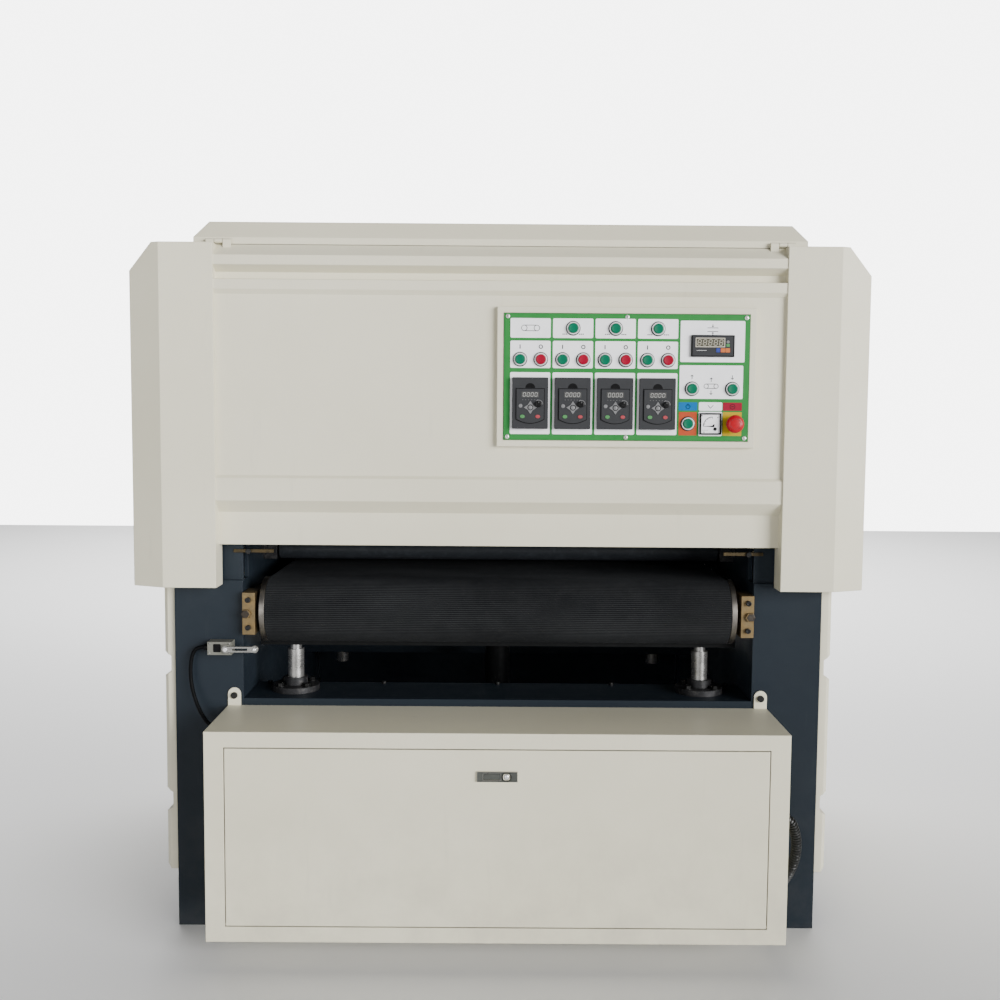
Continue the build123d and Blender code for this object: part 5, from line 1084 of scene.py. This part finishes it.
def limit_cable():
    """Round black cable from the limit switch's gland down to the cabinet's left side."""
    x0, y0, z0 = CABLE_START
    route = [((x0 + x) * MM, FRONT_OF_LEGS + (y0 + y) * MM, (z0 + z) * MM) for x, y, z in CABLE_ROUTE]
    curve = smooth_line("limit_switch_cable", route)
    length = line_points(curve)[1]
    curve.bevel_depth = 4.5 * MM
    curve.bevel_resolution = 6
    curve.use_fill_caps = True
    curve.materials.append(CABLE)
    made = bpy.data.objects.new("limit_switch_cable", curve)
    bpy.context.scene.collection.objects.link(made)
    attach(made, "frame")
    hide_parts("limit_cable")


def ribbed_conduit():
    """Corrugated conduit: radius rises and falls with a rounded rib every few millimetres."""
    route = [(CABINET_SIDE + x * MM, FRONT_OF_LEGS + y * MM, z * MM) for x, y, z in CONDUIT_ROUTE]
    curve = smooth_line("conduit_line", route)
    points, length = line_points(curve)
    along = np.concatenate([[0], np.cumsum(np.linalg.norm(np.diff(points, axis=0), axis=1))])
    pitch, per_rib = 6.2 * MM, 8
    mean_radius, rib = 10.5 * MM, 1.5 * MM
    count = int(length / pitch) * per_rib + 1
    at = np.linspace(0, length, count)
    centre = np.stack([np.interp(at, along, points[:, k]) for k in range(3)], 1)
    wave = np.clip(1.6 * np.cos(2 * math.pi * np.arange(count) / per_rib), -1, 1)
    shape = hose(centre, mean_radius + rib * wave, 32)
    made = piece("corrugated_conduit", [shape], CONDUIT_PLASTIC, "frame", 60)
    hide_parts("conduit")


limit_cable()
ribbed_conduit()


# ---- floor, light and camera ----
def studio():
    """Pale floor, a low soft sun from the front right, a fill, a light for the floor only, and a
    dim world that shows white behind the object."""
    world_glow, backdrop_glow = 0.10, 6.0
    floor_mesh = bpy.data.meshes.new("floor")
    half = 9
    corners = [(-half, -half, 0), (half, -half, 0), (half, half, 0), (-half, half, 0)]
    floor_mesh.from_pydata(corners, [], [(0, 1, 2, 3)])
    floor_paint = Finish("floor_paint", (0.92, 0.92, 0.92), 0.7)
    floor_mesh.materials.append(floor_paint.material)
    floor = bpy.data.objects.new("floor", floor_mesh)
    bpy.context.scene.collection.objects.link(floor)
    world = bpy.data.worlds.new("studio")
    world.use_nodes = True
    tree = world.node_tree
    background = tree.nodes["Background"]
    background.inputs["Color"].default_value = (0.95, 0.97, 1.0, 1)
    background.inputs["Strength"].default_value = world_glow
    bright = tree.nodes.new("ShaderNodeBackground")
    bright.inputs["Color"].default_value = (1, 1, 1, 1)
    bright.inputs["Strength"].default_value = backdrop_glow
    path = tree.nodes.new("ShaderNodeLightPath")
    mix = tree.nodes.new("ShaderNodeMixShader")
    tree.links.new(path.outputs["Is Camera Ray"], mix.inputs[0])
    tree.links.new(background.outputs[0], mix.inputs[1])
    tree.links.new(bright.outputs[0], mix.inputs[2])
    tree.links.new(mix.outputs[0], tree.nodes["World Output"].inputs["Surface"])
    bpy.context.scene.world = world
    # name, place, target, kind, size, power
    lights = [("key_light", (7.2, -7.0, 1.9), (0, 0, 0.9), "SUN", 0, 6.5),
              ("fill_light", (-2.3, -5.2, 1.3), (0, -0.3, 0.9), "AREA", 3.0, 85.0),
              ("floor_light", (0.0, 6.0, 5.0), (0, 7.0, 0.0), "AREA", 8.0, 1300.0)]
    for name, place, target, kind, size, power in lights:
        lamp = bpy.data.lights.new(name, kind)
        lamp.energy = power
        if kind == "SUN":
            lamp.angle = math.radians(40)
        else:
            lamp.size = size
        holder = bpy.data.objects.new(name, lamp)
        holder.location = place
        holder.rotation_euler = (Vector(target) - Vector(place)).to_track_quat("-Z", "Y").to_euler()
        bpy.context.scene.collection.objects.link(holder)
        if name == "floor_light":
            lit = bpy.data.collections.new("lit_by_floor_light")
            lit.objects.link(floor)
            holder.light_linking.receiver_collection = lit


def camera():
    """Camera at a little over a metre, looking slightly down at the infeed side."""
    data = bpy.data.cameras.new("camera")
    data.sensor_width = 36.0
    data.lens = 39.6
    data.clip_end = 60
    yaw, pitch, roll = 0.0028, 0.0737, 0.0074
    forward = Vector((math.sin(yaw) * math.cos(pitch), math.cos(yaw) * math.cos(pitch), -math.sin(pitch)))
    level = Vector((math.cos(yaw), -math.sin(yaw), 0))
    above = level.cross(forward)
    right = level * math.cos(roll) + above * math.sin(roll)
    up = above * math.cos(roll) - level * math.sin(roll)
    holder = bpy.data.objects.new("camera", data)
    shift, distance, height = -0.0049, 2.522, 1.1984
    place = Vector((shift, FRONT_OF_LEGS - distance, height))
    turn = Matrix((right, up, -forward)).transposed().to_4x4()
    holder.matrix_world = Matrix.Translation(place) @ turn
    bpy.context.scene.collection.objects.link(holder)
    bpy.context.scene.camera = holder


studio()
camera()
